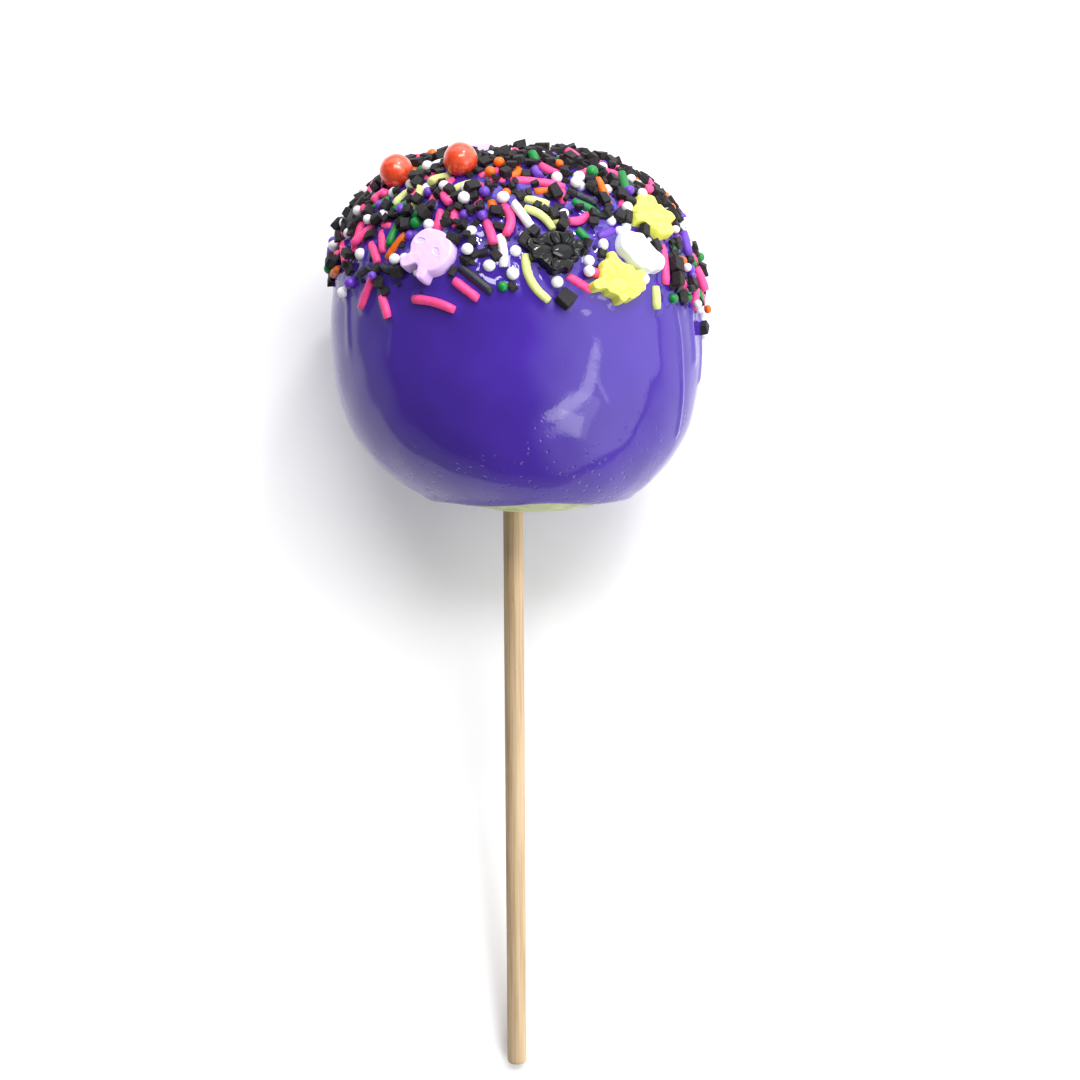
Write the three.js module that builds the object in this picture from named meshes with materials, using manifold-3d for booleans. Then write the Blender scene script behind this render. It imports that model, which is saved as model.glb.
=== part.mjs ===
// A toffee apple that lies on its side: an apple in a shell of set toffee, a round wooden
// stick in its stem end, and sugar sweets and pearls set on the toffee at the other end.
//
// Units are millimetres and +Z is up. The origin is the middle of the small flat spot that
// the toffee rests on, +Y runs from the stick towards the sweets, and the apple is tilted so
// that the tip of the stick touches the same floor.
//
// The fruit is worked out in a frame of its own, which is turned once at the end: y runs
// along the core from the stick to the head, the polar angle is 0 at the head and pi at the
// stick, and the azimuth is 0 on top and grows towards +x.

import * as THREE from "three";
import { mergeVertices } from "three/addons/utils/BufferGeometryUtils.js";
import Module from "manifold-3d";

const wasm = await Module();
wasm.setup();

// ---- driving dimensions ----

const APPLE_RADIUS = 34.7;
const HEAD_HEIGHT = 35.6; // widest circle to the head
const BASE_HEIGHT = 33.5; // widest circle to the shoulder round the stick
const HEAD_FULLNESS = 2.65; // exponent of the profile: 2 is a circle, more is squarer
const BASE_FULLNESS = 2.3;
const HEAD_LEAN = -1.2; // sideways shift of the head
const BASE_LEAN = 1.6; // sideways shift of the base
const BASE_SLANT = 0.03;
const LOBE_COUNT = 5;
const LOBE_SHARE = 0.01;
const LOBE_PHASE = 0.6;
const STEM_HOLLOW = { depth: 7, radius: 9 };
const HEAD_DIMPLE = { depth: 1.2, radius: 8 };

const COAT_GAP = 0.4; // play between the toffee and the apple in it
const COAT_AT_HEAD = 1.4;
const COAT_AT_WAIST = 1.6;
const COAT_AT_STICK = 0.5;
const BARE_RADIUS = 19.5; // the round patch of bare skin at the stick
const BARE_OFFSET = 3.5;
const BARE_DIRECTION = THREE.MathUtils.degToRad(12);
const BARE_WAVES = [
  { count: 3, height: 0.5, phase: 1.0 },
  { count: 7, height: 0.35, phase: 0.4 },
];
const FLAT_DEPTH = 1.1; // how much the resting spot takes off the round toffee

const STICK_RADIUS = 2.05;
const STICK_INNER_END = -2;
const STICK_TIP = -155;
const STICK_ROUNDING = 0.9;
const STICK_SHIFT = -1.2; // sideways, at its inner end
const STICK_LEAN = THREE.MathUtils.degToRad(0.25);
const STICK_PLAY = 0.3;

const SEAT_GAP = 0.3; // play between a sweet and the toffee under it
const SEAT_REACH = 5; // how far above or below a seat's plane the toffee is looked for
const SWEET_ROUNDS = [
  // how far out each ring of a pressed sweet lies, and how high it stands
  { out: 0.36, up: 0.99 },
  { out: 0.68, up: 0.95 },
  { out: 0.88, up: 0.86 },
  { out: 0.97, up: 0.7 },
  { out: 1.0, up: 0.45 },
  { out: 0.97, up: 0.0 },
];
const LEG_COUNT = 8;
const LEG_GROOVE = 0.2; // share of a spider's height
const BODY_HUMP = 0.24;
const BODY_SHARE = 0.44; // of a spider's radius
const PEARL_RADIUS = 3.25;

const COAT_COLUMNS = 40;
const COAT_ROWS = 19;
const APPLE_ROWS = 20;
const STICK_SIDES = 12;
const SPIDER_COLUMNS = 32;
const GHOST_COLUMNS = 26;
const PEARL_COLUMNS = 14;
const PEARL_ROWS = 9;

// ---- looks ----

const TOFFEE = { color: 0x4a2fa6, roughness: 0.12, metalness: 0 };
const APPLE_SKIN = { color: 0xa9b38a, roughness: 0.45, metalness: 0 };
const STICK_WOOD = { color: 0xdcb994, roughness: 0.7, metalness: 0 };
const LILAC_SUGAR = { color: 0xe3c4f7, roughness: 0.5, metalness: 0 };
const WHITE_SUGAR = { color: 0xf4f6fa, roughness: 0.45, metalness: 0 };
const YELLOW_SUGAR = { color: 0xf0f078, roughness: 0.5, metalness: 0 };
const BLACK_SUGAR = { color: 0x2c2d31, roughness: 0.2, metalness: 0 };
const ORANGE_PEARL = { color: 0xe0553a, roughness: 0.25, metalness: 0.2 };

// ---- the outlines of the pressed sweets ----
// Each is a round of the given radius with rises in it: direction and spread in degrees,
// counter-clockwise from the sweet's right, height in millimetres.

const GHOST = {
  radius: 4.2,
  rises: [
    { at: -118, height: 2.15, spread: 14 },
    { at: -91, height: -0.6, spread: 12 },
    { at: -64, height: 1.45, spread: 12 },
    { at: 170, height: 0.6, spread: 38 },
    { at: 42, height: 0.3, spread: 25 },
  ],
};
const GHOST_EYES = [
  { x: -3.0, y: 0.1, length: 1.1, width: 0.48, turn: 38 },
  { x: 1.4, y: 0.65, length: 1.0, width: 0.5, turn: -8 },
];
const PLAIN = {
  radius: 3.5,
  rises: [
    { at: 90, height: 1.5, spread: 38 },
    { at: -90, height: 2.0, spread: 22 },
    { at: -125, height: 0.9, spread: 20 },
    { at: -25, height: -0.7, spread: 30 },
  ],
};
const LOW_SPIDER = {
  radius: 3.9,
  rises: [
    { at: 98, height: 1.35, spread: 12 },
    { at: 128, height: 0.5, spread: 15 },
    { at: 60, height: -0.6, spread: 18 },
    { at: 6, height: 1.7, spread: 11 },
    { at: -18, height: 1.6, spread: 12 },
    { at: -38, height: 1.0, spread: 12 },
    { at: -60, height: 0.6, spread: 13 },
    { at: -95, height: 0.5, spread: 13 },
    { at: -122, height: -0.4, spread: 14 },
    { at: -170, height: 2.3, spread: 12 },
  ],
};
const HIGH_SPIDER = {
  radius: 4.1,
  rises: [
    { at: -2, height: 2.3, spread: 13 },
    { at: 24, height: 0.9, spread: 12 },
    { at: 55, height: 1.7, spread: 13 },
    { at: 90, height: 1.2, spread: 14 },
    { at: 122, height: 0.6, spread: 13 },
    { at: 150, height: 1.0, spread: 13 },
    { at: 177, height: 2.0, spread: 12 },
    { at: -54, height: 0.6, spread: 15 },
    { at: -140, height: -0.4, spread: 16 },
  ],
};
const BLACK_SPIDER = {
  radius: 3.85,
  rises: [
    { at: 163, height: 2.0, spread: 14 },
    { at: -170, height: 1.3, spread: 13 },
    { at: -107, height: 0.5, spread: 14 },
    { at: -60, height: 0.5, spread: 14 },
    { at: -15, height: 0.6, spread: 13 },
    { at: 12, height: 1.5, spread: 14 },
    { at: 46, height: 0.9, spread: 15 },
  ],
};

// ---- the sweets and where they sit: azimuth and polar angle on the toffee, how far they
// lean towards the head, and their own turn, all in degrees ----

const SWEETS = [
  { name: "ghost_front", kind: "ghost", azimuth: -25, polar: 63, lean: 5, turn: -36, eyes: true },
  { name: "ghost_crown", kind: "ghost", azimuth: -142, polar: 15, lean: 0, turn: 100 },
  { name: "ghost_left", kind: "ghost", azimuth: -105, polar: 63, lean: 0, turn: 25, eyes: true },
  { name: "ghost_back", kind: "ghost", azimuth: 146, polar: 55, lean: 0, turn: -70, eyes: true },
  { name: "white_right", kind: "white", azimuth: 43, polar: 63.5, lean: 2, turn: 56 },
  { name: "white_back", kind: "white", azimuth: -140, polar: 44, lean: 0, turn: 160 },
  { name: "spider_low", kind: "low_spider", azimuth: 32.5, polar: 71.5, lean: 8, turn: 0 },
  { name: "spider_high", kind: "high_spider", azimuth: 56, polar: 53, lean: 4, turn: 0 },
  { name: "spider_black", kind: "black_spider", azimuth: 13.5, polar: 62, lean: 4, turn: 0 },
  { name: "spider_side", kind: "low_spider", azimuth: 112, polar: 60, lean: 0, turn: 130 },
  { name: "spider_back", kind: "black_spider", azimuth: -168, polar: 64, lean: 0, turn: 75 },
];
const SWEET_KINDS = {
  ghost: { outline: GHOST, height: 2.7, look: LILAC_SUGAR, legs: false },
  white: { outline: PLAIN, height: 2.5, look: WHITE_SUGAR, legs: false },
  low_spider: { outline: LOW_SPIDER, height: 2.8, look: YELLOW_SUGAR, legs: true },
  high_spider: { outline: HIGH_SPIDER, height: 2.7, look: YELLOW_SUGAR, legs: true },
  black_spider: { outline: BLACK_SPIDER, height: 2.6, look: BLACK_SUGAR, legs: true },
};
const PEARLS = [
  { name: "pearl_left", azimuth: -61, polar: 34 },
  { name: "pearl_crown", azimuth: -28, polar: 25 },
  { name: "pearl_right", azimuth: 128, polar: 47 },
  { name: "pearl_back", azimuth: -122, polar: 72 },
];

// ---- closed solids ----

// A closed skin of rows from one end point to the other: place(share, angle) gives a point.
function closedSkin(rows, columns, place) {
  const points = [];
  const faces = [];
  const add = (point) => points.push(point.x, point.y, point.z);
  const ring = (row, column) => 1 + (row - 1) * columns + (column % columns);
  add(place(0, 0));
  for (let row = 1; row < rows; row += 1) {
    for (let column = 0; column < columns; column += 1) {
      add(place(row / rows, (2 * Math.PI * column) / columns));
    }
  }
  add(place(1, 0));
  const last = 1 + (rows - 1) * columns;
  for (let column = 0; column < columns; column += 1) {
    faces.push(0, ring(1, column), ring(1, column + 1));
    faces.push(last, ring(rows - 1, column + 1), ring(rows - 1, column));
    for (let row = 1; row < rows - 1; row += 1) {
      faces.push(ring(row, column), ring(row + 1, column), ring(row + 1, column + 1));
      faces.push(ring(row, column), ring(row + 1, column + 1), ring(row, column + 1));
    }
  }
  const geometry = new THREE.BufferGeometry();
  geometry.setAttribute("position", new THREE.Float32BufferAttribute(points, 3));
  geometry.setIndex(faces);
  return geometry;
}

function toManifold(geometry) {
  const bare = geometry.clone();
  bare.deleteAttribute("normal");
  bare.deleteAttribute("uv");
  const merged = mergeVertices(bare);
  return new wasm.Manifold(new wasm.Mesh({
    numProp: 3,
    vertProperties: new Float32Array(merged.attributes.position.array),
    triVerts: new Uint32Array(merged.index.array),
  }));
}

function cut(body, tools) {
  let solid = toManifold(body);
  for (const tool of tools) {
    solid = solid.subtract(toManifold(tool));
  }
  const mesh = solid.getMesh();
  const geometry = new THREE.BufferGeometry();
  geometry.setAttribute("position", new THREE.BufferAttribute(mesh.vertProperties, 3));
  geometry.setIndex(new THREE.BufferAttribute(mesh.triVerts, 1));
  return geometry;
}

function makeMesh(name, geometry, look) {
  geometry.computeVertexNormals();
  const mesh = new THREE.Mesh(geometry, new THREE.MeshStandardMaterial(look));
  mesh.name = name;
  return mesh;
}

// ---- the fruit's form ----

function bell(distance, width) {
  return Math.exp(-((distance / width) ** 2));
}

function plateau(distance, width) {
  return Math.exp(-((distance / width) ** 4));
}

function lean(share) {
  return share > 0 ? HEAD_LEAN * share : BASE_LEAN * share * share;
}

function lobes(polar, azimuth) {
  return 1 + LOBE_SHARE * Math.cos(LOBE_COUNT * azimuth + LOBE_PHASE) * Math.sin(polar);
}

// A point that stands the given depth outside the apple's skin.
function skinPoint(polar, azimuth, depth) {
  const height = Math.cos(polar);
  const towardsHead = height >= 0;
  const power = 2 / (towardsHead ? HEAD_FULLNESS : BASE_FULLNESS);
  const reach = (towardsHead ? HEAD_HEIGHT : BASE_HEIGHT) + depth;
  const share = Math.sign(height) * Math.abs(height) ** power;
  const spread = Math.max(Math.sin(polar), 0) ** power;
  const radius = (APPLE_RADIUS + depth) * lobes(polar, azimuth) * spread;
  const point = new THREE.Vector3(
    radius * Math.sin(azimuth) + lean(share),
    reach * share,
    radius * Math.cos(azimuth),
  );
  if (towardsHead) {
    point.y -= HEAD_DIMPLE.depth * bell(radius, HEAD_DIMPLE.radius);
  } else {
    point.y -= BASE_SLANT * point.x * share * share;
    point.y += STEM_HOLLOW.depth * bell(radius, STEM_HOLLOW.radius);
  }
  return point;
}

function coatDepth(polar) {
  const turn = (2 * polar) / Math.PI;
  const thickness = turn < 1
    ? THREE.MathUtils.lerp(COAT_AT_HEAD, COAT_AT_WAIST, turn)
    : THREE.MathUtils.lerp(COAT_AT_WAIST, COAT_AT_STICK, turn - 1);
  return COAT_GAP + thickness;
}

// The polar angle at which the toffee ends: an uneven round patch off to one side.
function rimPolar(azimuth) {
  const away = azimuth - BARE_DIRECTION;
  const across = BARE_OFFSET * Math.sin(away);
  let radius = BARE_OFFSET * Math.cos(away) + Math.sqrt(BARE_RADIUS ** 2 - across ** 2);
  for (const wave of BARE_WAVES) {
    radius += wave.height * Math.sin(wave.count * azimuth + wave.phase);
  }
  return Math.PI - Math.asin((radius / APPLE_RADIUS) ** (BASE_FULLNESS / 2));
}

// Below 0 inside the set toffee, 0 on it and above 0 outside, on the head's half.
function coatLevel(point, extra) {
  const x = point.x - lean(point.y / HEAD_HEIGHT);
  const radius = Math.hypot(x, point.z);
  const y = point.y + HEAD_DIMPLE.depth * bell(radius, HEAD_DIMPLE.radius);
  const polar = Math.atan2(radius, y);
  const depth = coatDepth(polar) + extra;
  const widest = (APPLE_RADIUS + depth) * lobes(polar, Math.atan2(x, point.z));
  const round = (radius / widest) ** HEAD_FULLNESS;
  return round + (Math.abs(y) / (HEAD_HEIGHT + depth)) ** HEAD_FULLNESS - 1;
}

function makeApple() {
  const skin = closedSkin(APPLE_ROWS, COAT_COLUMNS, (share, angle) => (
    skinPoint(share * Math.PI, angle, 0)
  ));
  return makeMesh("apple", cut(skin, [makeStickForm(STICK_PLAY)]), APPLE_SKIN);
}

// The shell: down the outside from the head to the rim, and back up the inside.
function makeCoat(floorBlock) {
  const shell = closedSkin(2 * COAT_ROWS - 1, COAT_COLUMNS, (share, angle) => {
    const row = Math.round(share * (2 * COAT_ROWS - 1));
    const outside = row < COAT_ROWS;
    const down = (outside ? row : 2 * COAT_ROWS - 1 - row) / (COAT_ROWS - 1);
    const polar = down * rimPolar(angle);
    return skinPoint(polar, angle, outside ? coatDepth(polar) : COAT_GAP);
  });
  return makeMesh("coat", cut(shell, [floorBlock]), TOFFEE);
}

// ---- the stick ----

function makeStickForm(play) {
  const radius = STICK_RADIUS + play;
  const inner = STICK_INNER_END + play;
  const bevel = STICK_ROUNDING * (1 - Math.SQRT1_2);
  const profile = [
    [0, inner],
    [radius - STICK_ROUNDING, inner],
    [radius - bevel, inner - bevel],
    [radius, inner - STICK_ROUNDING],
    [radius, STICK_TIP + STICK_ROUNDING],
    [radius - bevel, STICK_TIP + bevel],
    [radius - STICK_ROUNDING, STICK_TIP],
    [0, STICK_TIP],
  ];
  const form = closedSkin(profile.length - 1, STICK_SIDES, (share, angle) => {
    const [r, y] = profile[Math.round(share * (profile.length - 1))];
    return new THREE.Vector3(r * Math.sin(angle), y, r * Math.cos(angle));
  });
  form.rotateZ(STICK_LEAN);
  form.translate(STICK_SHIFT, 0, 0);
  return form;
}

// ---- the sweets ----

// The sweet's own axes where it sits: right, towards the head, and out.
function seatAxes(azimuth, polar, lean, turn) {
  const step = 0.001;
  const at = (p, a) => skinPoint(p, a, coatDepth(p) + SEAT_GAP);
  const middle = at(polar, azimuth);
  const right = at(polar, azimuth + step).sub(at(polar, azimuth - step)).normalize();
  const down = at(polar + step, azimuth).sub(at(polar - step, azimuth)).normalize();
  const out = new THREE.Vector3().crossVectors(down, right).normalize();
  const up = new THREE.Vector3().crossVectors(out, right);
  const axes = new THREE.Matrix4().makeBasis(right, up, out).setPosition(middle);
  axes.multiply(new THREE.Matrix4().makeRotationX(-lean));
  return axes.multiply(new THREE.Matrix4().makeRotationZ(turn));
}

// How far under the seat's flat plane the toffee's surface lies.
function seatDrop(axes, x, y) {
  let low = -SEAT_REACH;
  let high = SEAT_REACH;
  for (let step = 0; step < 24; step += 1) {
    const middle = (low + high) / 2;
    const point = new THREE.Vector3(x, y, middle).applyMatrix4(axes);
    if (coatLevel(point, SEAT_GAP) > 0) {
      high = middle;
    } else {
      low = middle;
    }
  }
  return low;
}

function outlineRadius(outline, angle) {
  let radius = outline.radius;
  for (const rise of outline.rises) {
    const away = THREE.MathUtils.radToDeg(angle) - rise.at;
    const nearest = away - 360 * Math.round(away / 360);
    radius += rise.height * plateau(nearest, rise.spread);
  }
  return radius;
}

function sweetHeight(kind, out, up, angle) {
  if (!kind.legs || up === 0) {
    return kind.height * up;
  }
  const groove = 0.5 - 0.5 * Math.cos(LEG_COUNT * angle);
  const legs = 1 - LEG_GROOVE * groove * Math.min(1, out / BODY_SHARE);
  return kind.height * (up * legs * (1 - BODY_HUMP) + BODY_HUMP * bell(out, BODY_SHARE));
}

function makeSweet(sweet) {
  const kind = SWEET_KINDS[sweet.kind];
  const angles = [sweet.azimuth, sweet.polar, sweet.lean, sweet.turn];
  const axes = seatAxes(...angles.map(THREE.MathUtils.degToRad));
  const rows = SWEET_ROUNDS.length + 1;
  const columns = kind.legs ? SPIDER_COLUMNS : GHOST_COLUMNS;
  const body = closedSkin(rows, columns, (share, angle) => {
    const row = Math.round(share * rows);
    const middle = row === 0 || row === rows;
    const { out, up } = middle ? { out: 0, up: 1 - share } : SWEET_ROUNDS[row - 1];
    const radius = out * outlineRadius(kind.outline, angle);
    const x = radius * Math.cos(angle);
    const y = radius * Math.sin(angle);
    const settle = 1 - up;
    const z = sweetHeight(kind, out, up, angle) + settle * seatDrop(axes, x, y);
    return new THREE.Vector3(x, y, z);
  });
  const eyes = (sweet.eyes ? GHOST_EYES : []).map((eye) => makeEye(eye, kind.height));
  const geometry = eyes.length > 0 ? cut(body, eyes) : body;
  geometry.applyMatrix4(axes);
  return makeMesh(sweet.name, geometry, kind.look);
}

function makeEye(eye, height) {
  const form = closedSkin(6, 8, (share, angle) => new THREE.Vector3(
    eye.length * Math.cos(angle) * Math.sin(share * Math.PI),
    eye.width * Math.sin(angle) * Math.sin(share * Math.PI),
    eye.width * Math.cos(share * Math.PI),
  ));
  form.rotateZ(THREE.MathUtils.degToRad(eye.turn));
  form.translate(eye.x, eye.y, height);
  return form;
}

function makePearl(pearl) {
  const angles = [pearl.azimuth, pearl.polar, 0, 0];
  const axes = seatAxes(...angles.map(THREE.MathUtils.degToRad));
  const ball = closedSkin(PEARL_ROWS, PEARL_COLUMNS, (share, angle) => new THREE.Vector3(
    PEARL_RADIUS * Math.cos(angle) * Math.sin(share * Math.PI),
    PEARL_RADIUS * Math.sin(angle) * Math.sin(share * Math.PI),
    PEARL_RADIUS * (1 + Math.cos(share * Math.PI)),
  ));
  ball.applyMatrix4(axes);
  return makeMesh(pearl.name, ball, ORANGE_PEARL);
}

// ---- how it lies ----

// The lowest point of the toffee for one tilt, before anything is flattened.
function lowestOfCoat(tilt) {
  const turn = new THREE.Matrix4().makeRotationX(tilt);
  const steps = 600;
  let lowest = new THREE.Vector3(0, 0, Infinity);
  for (let step = 0; step <= steps; step += 1) {
    const polar = Math.PI * THREE.MathUtils.lerp(0.4, 0.7, step / steps);
    const point = skinPoint(polar, Math.PI, coatDepth(polar)).applyMatrix4(turn);
    if (point.z < lowest.z) {
      lowest = point;
    }
  }
  return lowest;
}

function lowestOfStick(tilt) {
  const end = STICK_TIP + STICK_ROUNDING;
  return end * Math.sin(tilt) - STICK_RADIUS * Math.cos(tilt);
}

// The tilt at which the flattened toffee and the stick's tip stand on one floor.
function restingTilt() {
  let low = THREE.MathUtils.degToRad(5);
  let high = THREE.MathUtils.degToRad(25);
  for (let step = 0; step < 40; step += 1) {
    const tilt = (low + high) / 2;
    if (lowestOfStick(tilt) > lowestOfCoat(tilt).z + FLAT_DEPTH) {
      low = tilt;
    } else {
      high = tilt;
    }
  }
  return low;
}

function lyingPose() {
  const tilt = restingTilt();
  const contact = lowestOfCoat(tilt);
  const pose = new THREE.Matrix4().makeRotationX(tilt);
  return pose.setPosition(-contact.x, -contact.y, -contact.z - FLAT_DEPTH);
}

function makeFloorBlock(pose) {
  const side = 60;
  const block = new THREE.BoxGeometry(side, side, side);
  block.translate(0, 0, -side / 2);
  block.applyMatrix4(pose.clone().invert());
  return block;
}

function makeToffeeApple() {
  const pose = lyingPose();
  const fruit = new THREE.Group();
  fruit.add(makeApple());
  fruit.add(makeCoat(makeFloorBlock(pose)));
  fruit.add(makeMesh("stick", makeStickForm(0), STICK_WOOD));
  for (const sweet of SWEETS) {
    fruit.add(makeSweet(sweet));
  }
  for (const pearl of PEARLS) {
    fruit.add(makePearl(pearl));
  }
  fruit.applyMatrix4(pose);
  const whole = new THREE.Group();
  whole.add(fruit);
  return whole;
}

export default makeToffeeApple();
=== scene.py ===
"""Toffee apple: the looks of an apple in violet toffee, its head dipped in sugar sprinkles.

The solids of the apple, its toffee, its stick and its sweets come from the frame. Each is
replaced here by a fine skin of the same form and place, and the small things that have no
solid, the sprinkles, sugar balls and biscuit crumbs, are laid on the toffee one by one.
"""

import functools
import math
from collections import namedtuple

import bmesh
import bpy
import numpy as np
from mathutils import Matrix, Vector
from mathutils.kdtree import KDTree


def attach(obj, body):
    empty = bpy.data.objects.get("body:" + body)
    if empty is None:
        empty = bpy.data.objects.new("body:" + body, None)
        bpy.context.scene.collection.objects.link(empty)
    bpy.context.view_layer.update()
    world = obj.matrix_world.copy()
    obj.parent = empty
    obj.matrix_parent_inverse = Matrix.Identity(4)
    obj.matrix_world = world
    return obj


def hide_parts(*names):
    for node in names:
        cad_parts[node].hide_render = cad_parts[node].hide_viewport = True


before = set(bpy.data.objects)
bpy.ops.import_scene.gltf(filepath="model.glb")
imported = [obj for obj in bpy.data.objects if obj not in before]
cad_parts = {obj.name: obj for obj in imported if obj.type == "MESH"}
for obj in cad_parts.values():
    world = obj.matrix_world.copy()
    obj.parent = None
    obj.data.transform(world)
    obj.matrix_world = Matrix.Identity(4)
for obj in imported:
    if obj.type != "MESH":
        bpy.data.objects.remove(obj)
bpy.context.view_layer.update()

bl_info = {
    "name": "Toffee Apple",
    "version": (1, 0, 0),
    "blender": (4, 5, 0),
    "location": "View3D > Sidebar > Toffee Apple",
    "description": "Makes a toffee apple on a stick with sweets and sprinkles",
    "category": "Add Mesh",
}

MM = 0.001
TAU = 2 * math.pi


def srgb(red, green, blue):
    """A colour given from 0 to 255 on the screen's scale, as the linear values of a shader."""
    shares = (value / 255 for value in (red, green, blue))
    linear = (s / 12.92 if s < 0.04045 else ((s + 0.055) / 1.055) ** 2.4 for s in shares)
    return (*linear, 1.0)


def length_property(name, description, default):
    return bpy.props.FloatProperty(
        name=name, description=description, default=default, min=0.0,
        subtype="DISTANCE", unit="LENGTH",
    )


def colour_property(name, description, default):
    return bpy.props.FloatVectorProperty(
        name=name, description=description, default=default, size=4,
        min=0.0, max=1.0, subtype="COLOR",
    )


def count_property(name, description, default):
    return bpy.props.IntProperty(name=name, description=description, default=default, min=0)


def share_property(name, description, default):
    return bpy.props.FloatProperty(
        name=name, description=description, default=default, min=0.0, max=1.0,
        subtype="FACTOR",
    )


# ---------------------------------------------------------------- what a user would change


class ToffeeSettings(bpy.types.PropertyGroup):
    """The set toffee."""

    colour: colour_property("Toffee", "Colour of the toffee", srgb(66, 38, 150))
    deep: colour_property("Deep toffee", "Where the toffee is thick", srgb(60, 34, 140))
    gloss: share_property("Roughness", "How dull the set toffee is", 0.07)
    unevenness: length_property("Unevenness", "Height of its slow waves", 0.16 * MM)
    collar: length_property("Collar", "How far it climbs up what is set in it", 0.34 * MM)
    bead: length_property("Bead", "Extra thickness along its lower edge", 0.15 * MM)


class FruitSettings(bpy.types.PropertyGroup):
    """The apple and its stick."""

    skin: colour_property("Skin", "Colour of the apple's skin", srgb(160, 170, 112))
    blush: colour_property("Pale skin", "Paler streaks of the skin", srgb(190, 197, 150))
    wood: colour_property("Wood", "Colour of the stick", srgb(186, 161, 128))
    grain: colour_property("Grain", "Colour of the stick's grain", srgb(158, 130, 96))


class SweetSettings(bpy.types.PropertyGroup):
    """The pressed sweets and the pearls."""

    lilac: colour_property("Lilac", "Colour of the ghosts", srgb(222, 190, 243))
    white: colour_property("White", "Colour of the white sweets", srgb(222, 226, 228))
    yellow: colour_property("Yellow", "Colour of the yellow spiders", srgb(229, 232, 96))
    black: colour_property("Black", "Colour of the black spiders", srgb(7, 8, 11))
    pearl: colour_property("Pearl", "Colour of the pearls", srgb(222, 58, 18))
    # A pale colour of the pearls, used for their random shimmer and for a painted sheen that
    # lightens their rims.
    shimmer_and_painted_sheen: colour_property("Pearl sheen", "Light side of the pearls", srgb(255, 138, 98))


class SprinkleSettings(bpy.types.PropertyGroup):
    """The small things on the toffee."""

    seed: count_property("Seed", "Another number gives another scatter", 11)
    jimmies: count_property("Jimmies", "How many scattered sugar strands", 560)
    balls: count_property("Balls", "How many scattered sugar balls", 760)
    crumbs: count_property("Crumbs", "How many biscuit crumbs", 2900)
    dust: count_property("Fine crumbs", "How many fine crumbs", 700)
    jimmy_radius: length_property("Jimmy radius", "Half a strand's thickness", 0.88 * MM)
    ball_radius: length_property("Ball radius", "Half a sugar ball's size", 1.08 * MM)
    crumb_size: length_property("Crumb", "Size of a common crumb", 2.3 * MM)
    sink: share_property("Sink", "How deep a strand sits in the toffee", 0.26)


class StageSettings(bpy.types.PropertyGroup):
    """Floor, lights and camera."""

    floor: colour_property("Floor", "Colour of the floor", (0.86, 0.86, 0.87, 1.0))
    floor_size: length_property("Floor size", "Side of the floor", 24.0)
    camera_height: length_property("Camera", "Camera above the apple's core", 0.45)
    lens: bpy.props.FloatProperty(
        name="Lens", description="Focal length", default=75.0, subtype="DISTANCE_CAMERA"
    )


SETTINGS = {
    "toffee_apple_toffee": ToffeeSettings,
    "toffee_apple_fruit": FruitSettings,
    "toffee_apple_sweets": SweetSettings,
    "toffee_apple_sprinkles": SprinkleSettings,
    "toffee_apple_stage": StageSettings,
}


def settings(name):
    return getattr(bpy.context.scene, "toffee_apple_" + name)


# ---------------------------------------------------------------- the fruit's form
# In millimetres, in the fruit's own frame: y along the core from the stick to the head, the
# polar angle 0 at the head and pi at the stick, the azimuth 0 on top and growing towards +x.

APPLE_RADIUS = 34.7
HEAD_HEIGHT = 35.6
BASE_HEIGHT = 33.5
HEAD_FULLNESS = 2.65
BASE_FULLNESS = 2.3
HEAD_LEAN = -1.2
BASE_LEAN = 1.6
BASE_SLANT = 0.03
LOBE_COUNT = 5
LOBE_SHARE = 0.01
LOBE_PHASE = 0.6
STEM_HOLLOW = (7.0, 9.0)
HEAD_DIMPLE = (1.2, 8.0)

COAT_GAP = 0.4
COAT_AT_HEAD = 1.4
COAT_AT_WAIST = 1.6
COAT_AT_STICK = 0.5
BARE_RADIUS = 19.5
BARE_OFFSET = 3.5
BARE_DIRECTION = math.radians(12)
BARE_WAVES = ((3, 0.5, 1.0), (7, 0.35, 0.4))
FLAT_DEPTH = 1.1

STICK_RADIUS = 2.05
STICK_INNER_END = -2.0
STICK_TIP = -155.0
STICK_ROUNDING = 0.9
STICK_SHIFT = -1.2
STICK_LEAN = math.radians(0.25)

LOW_BAND = (0.4 * math.pi, 0.7 * math.pi)  # polar angles between which the toffee is lowest
LOW_STEPS = 601
TILT_BOUNDS = (math.radians(5), math.radians(25))
TILT_STEPS = 40
SEAT_STEP = 0.002  # radians between the points that a seat's slope is taken from


def bell(distance, width):
    return np.exp(-np.square(np.asarray(distance) / width))


def plateau(distance, width):
    return np.exp(-((np.asarray(distance) / width) ** 4))


def smooth_step(low, high, value):
    share = np.clip((np.asarray(value, float) - low) / (high - low), 0, 1)
    return share * share * (3 - 2 * share)


def turned(first, second, angle):
    """Two coordinates or two axes, turned in their plane."""
    cos, sin = math.cos(angle), math.sin(angle)
    return first * cos - second * sin, first * sin + second * cos


def round_angles(count):
    return TAU * np.arange(count) / count


def on_circle(radius, angle):
    return radius * np.cos(angle), radius * np.sin(angle)


def unit(vectors):
    return vectors / np.linalg.norm(vectors, axis=-1, keepdims=True)


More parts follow.
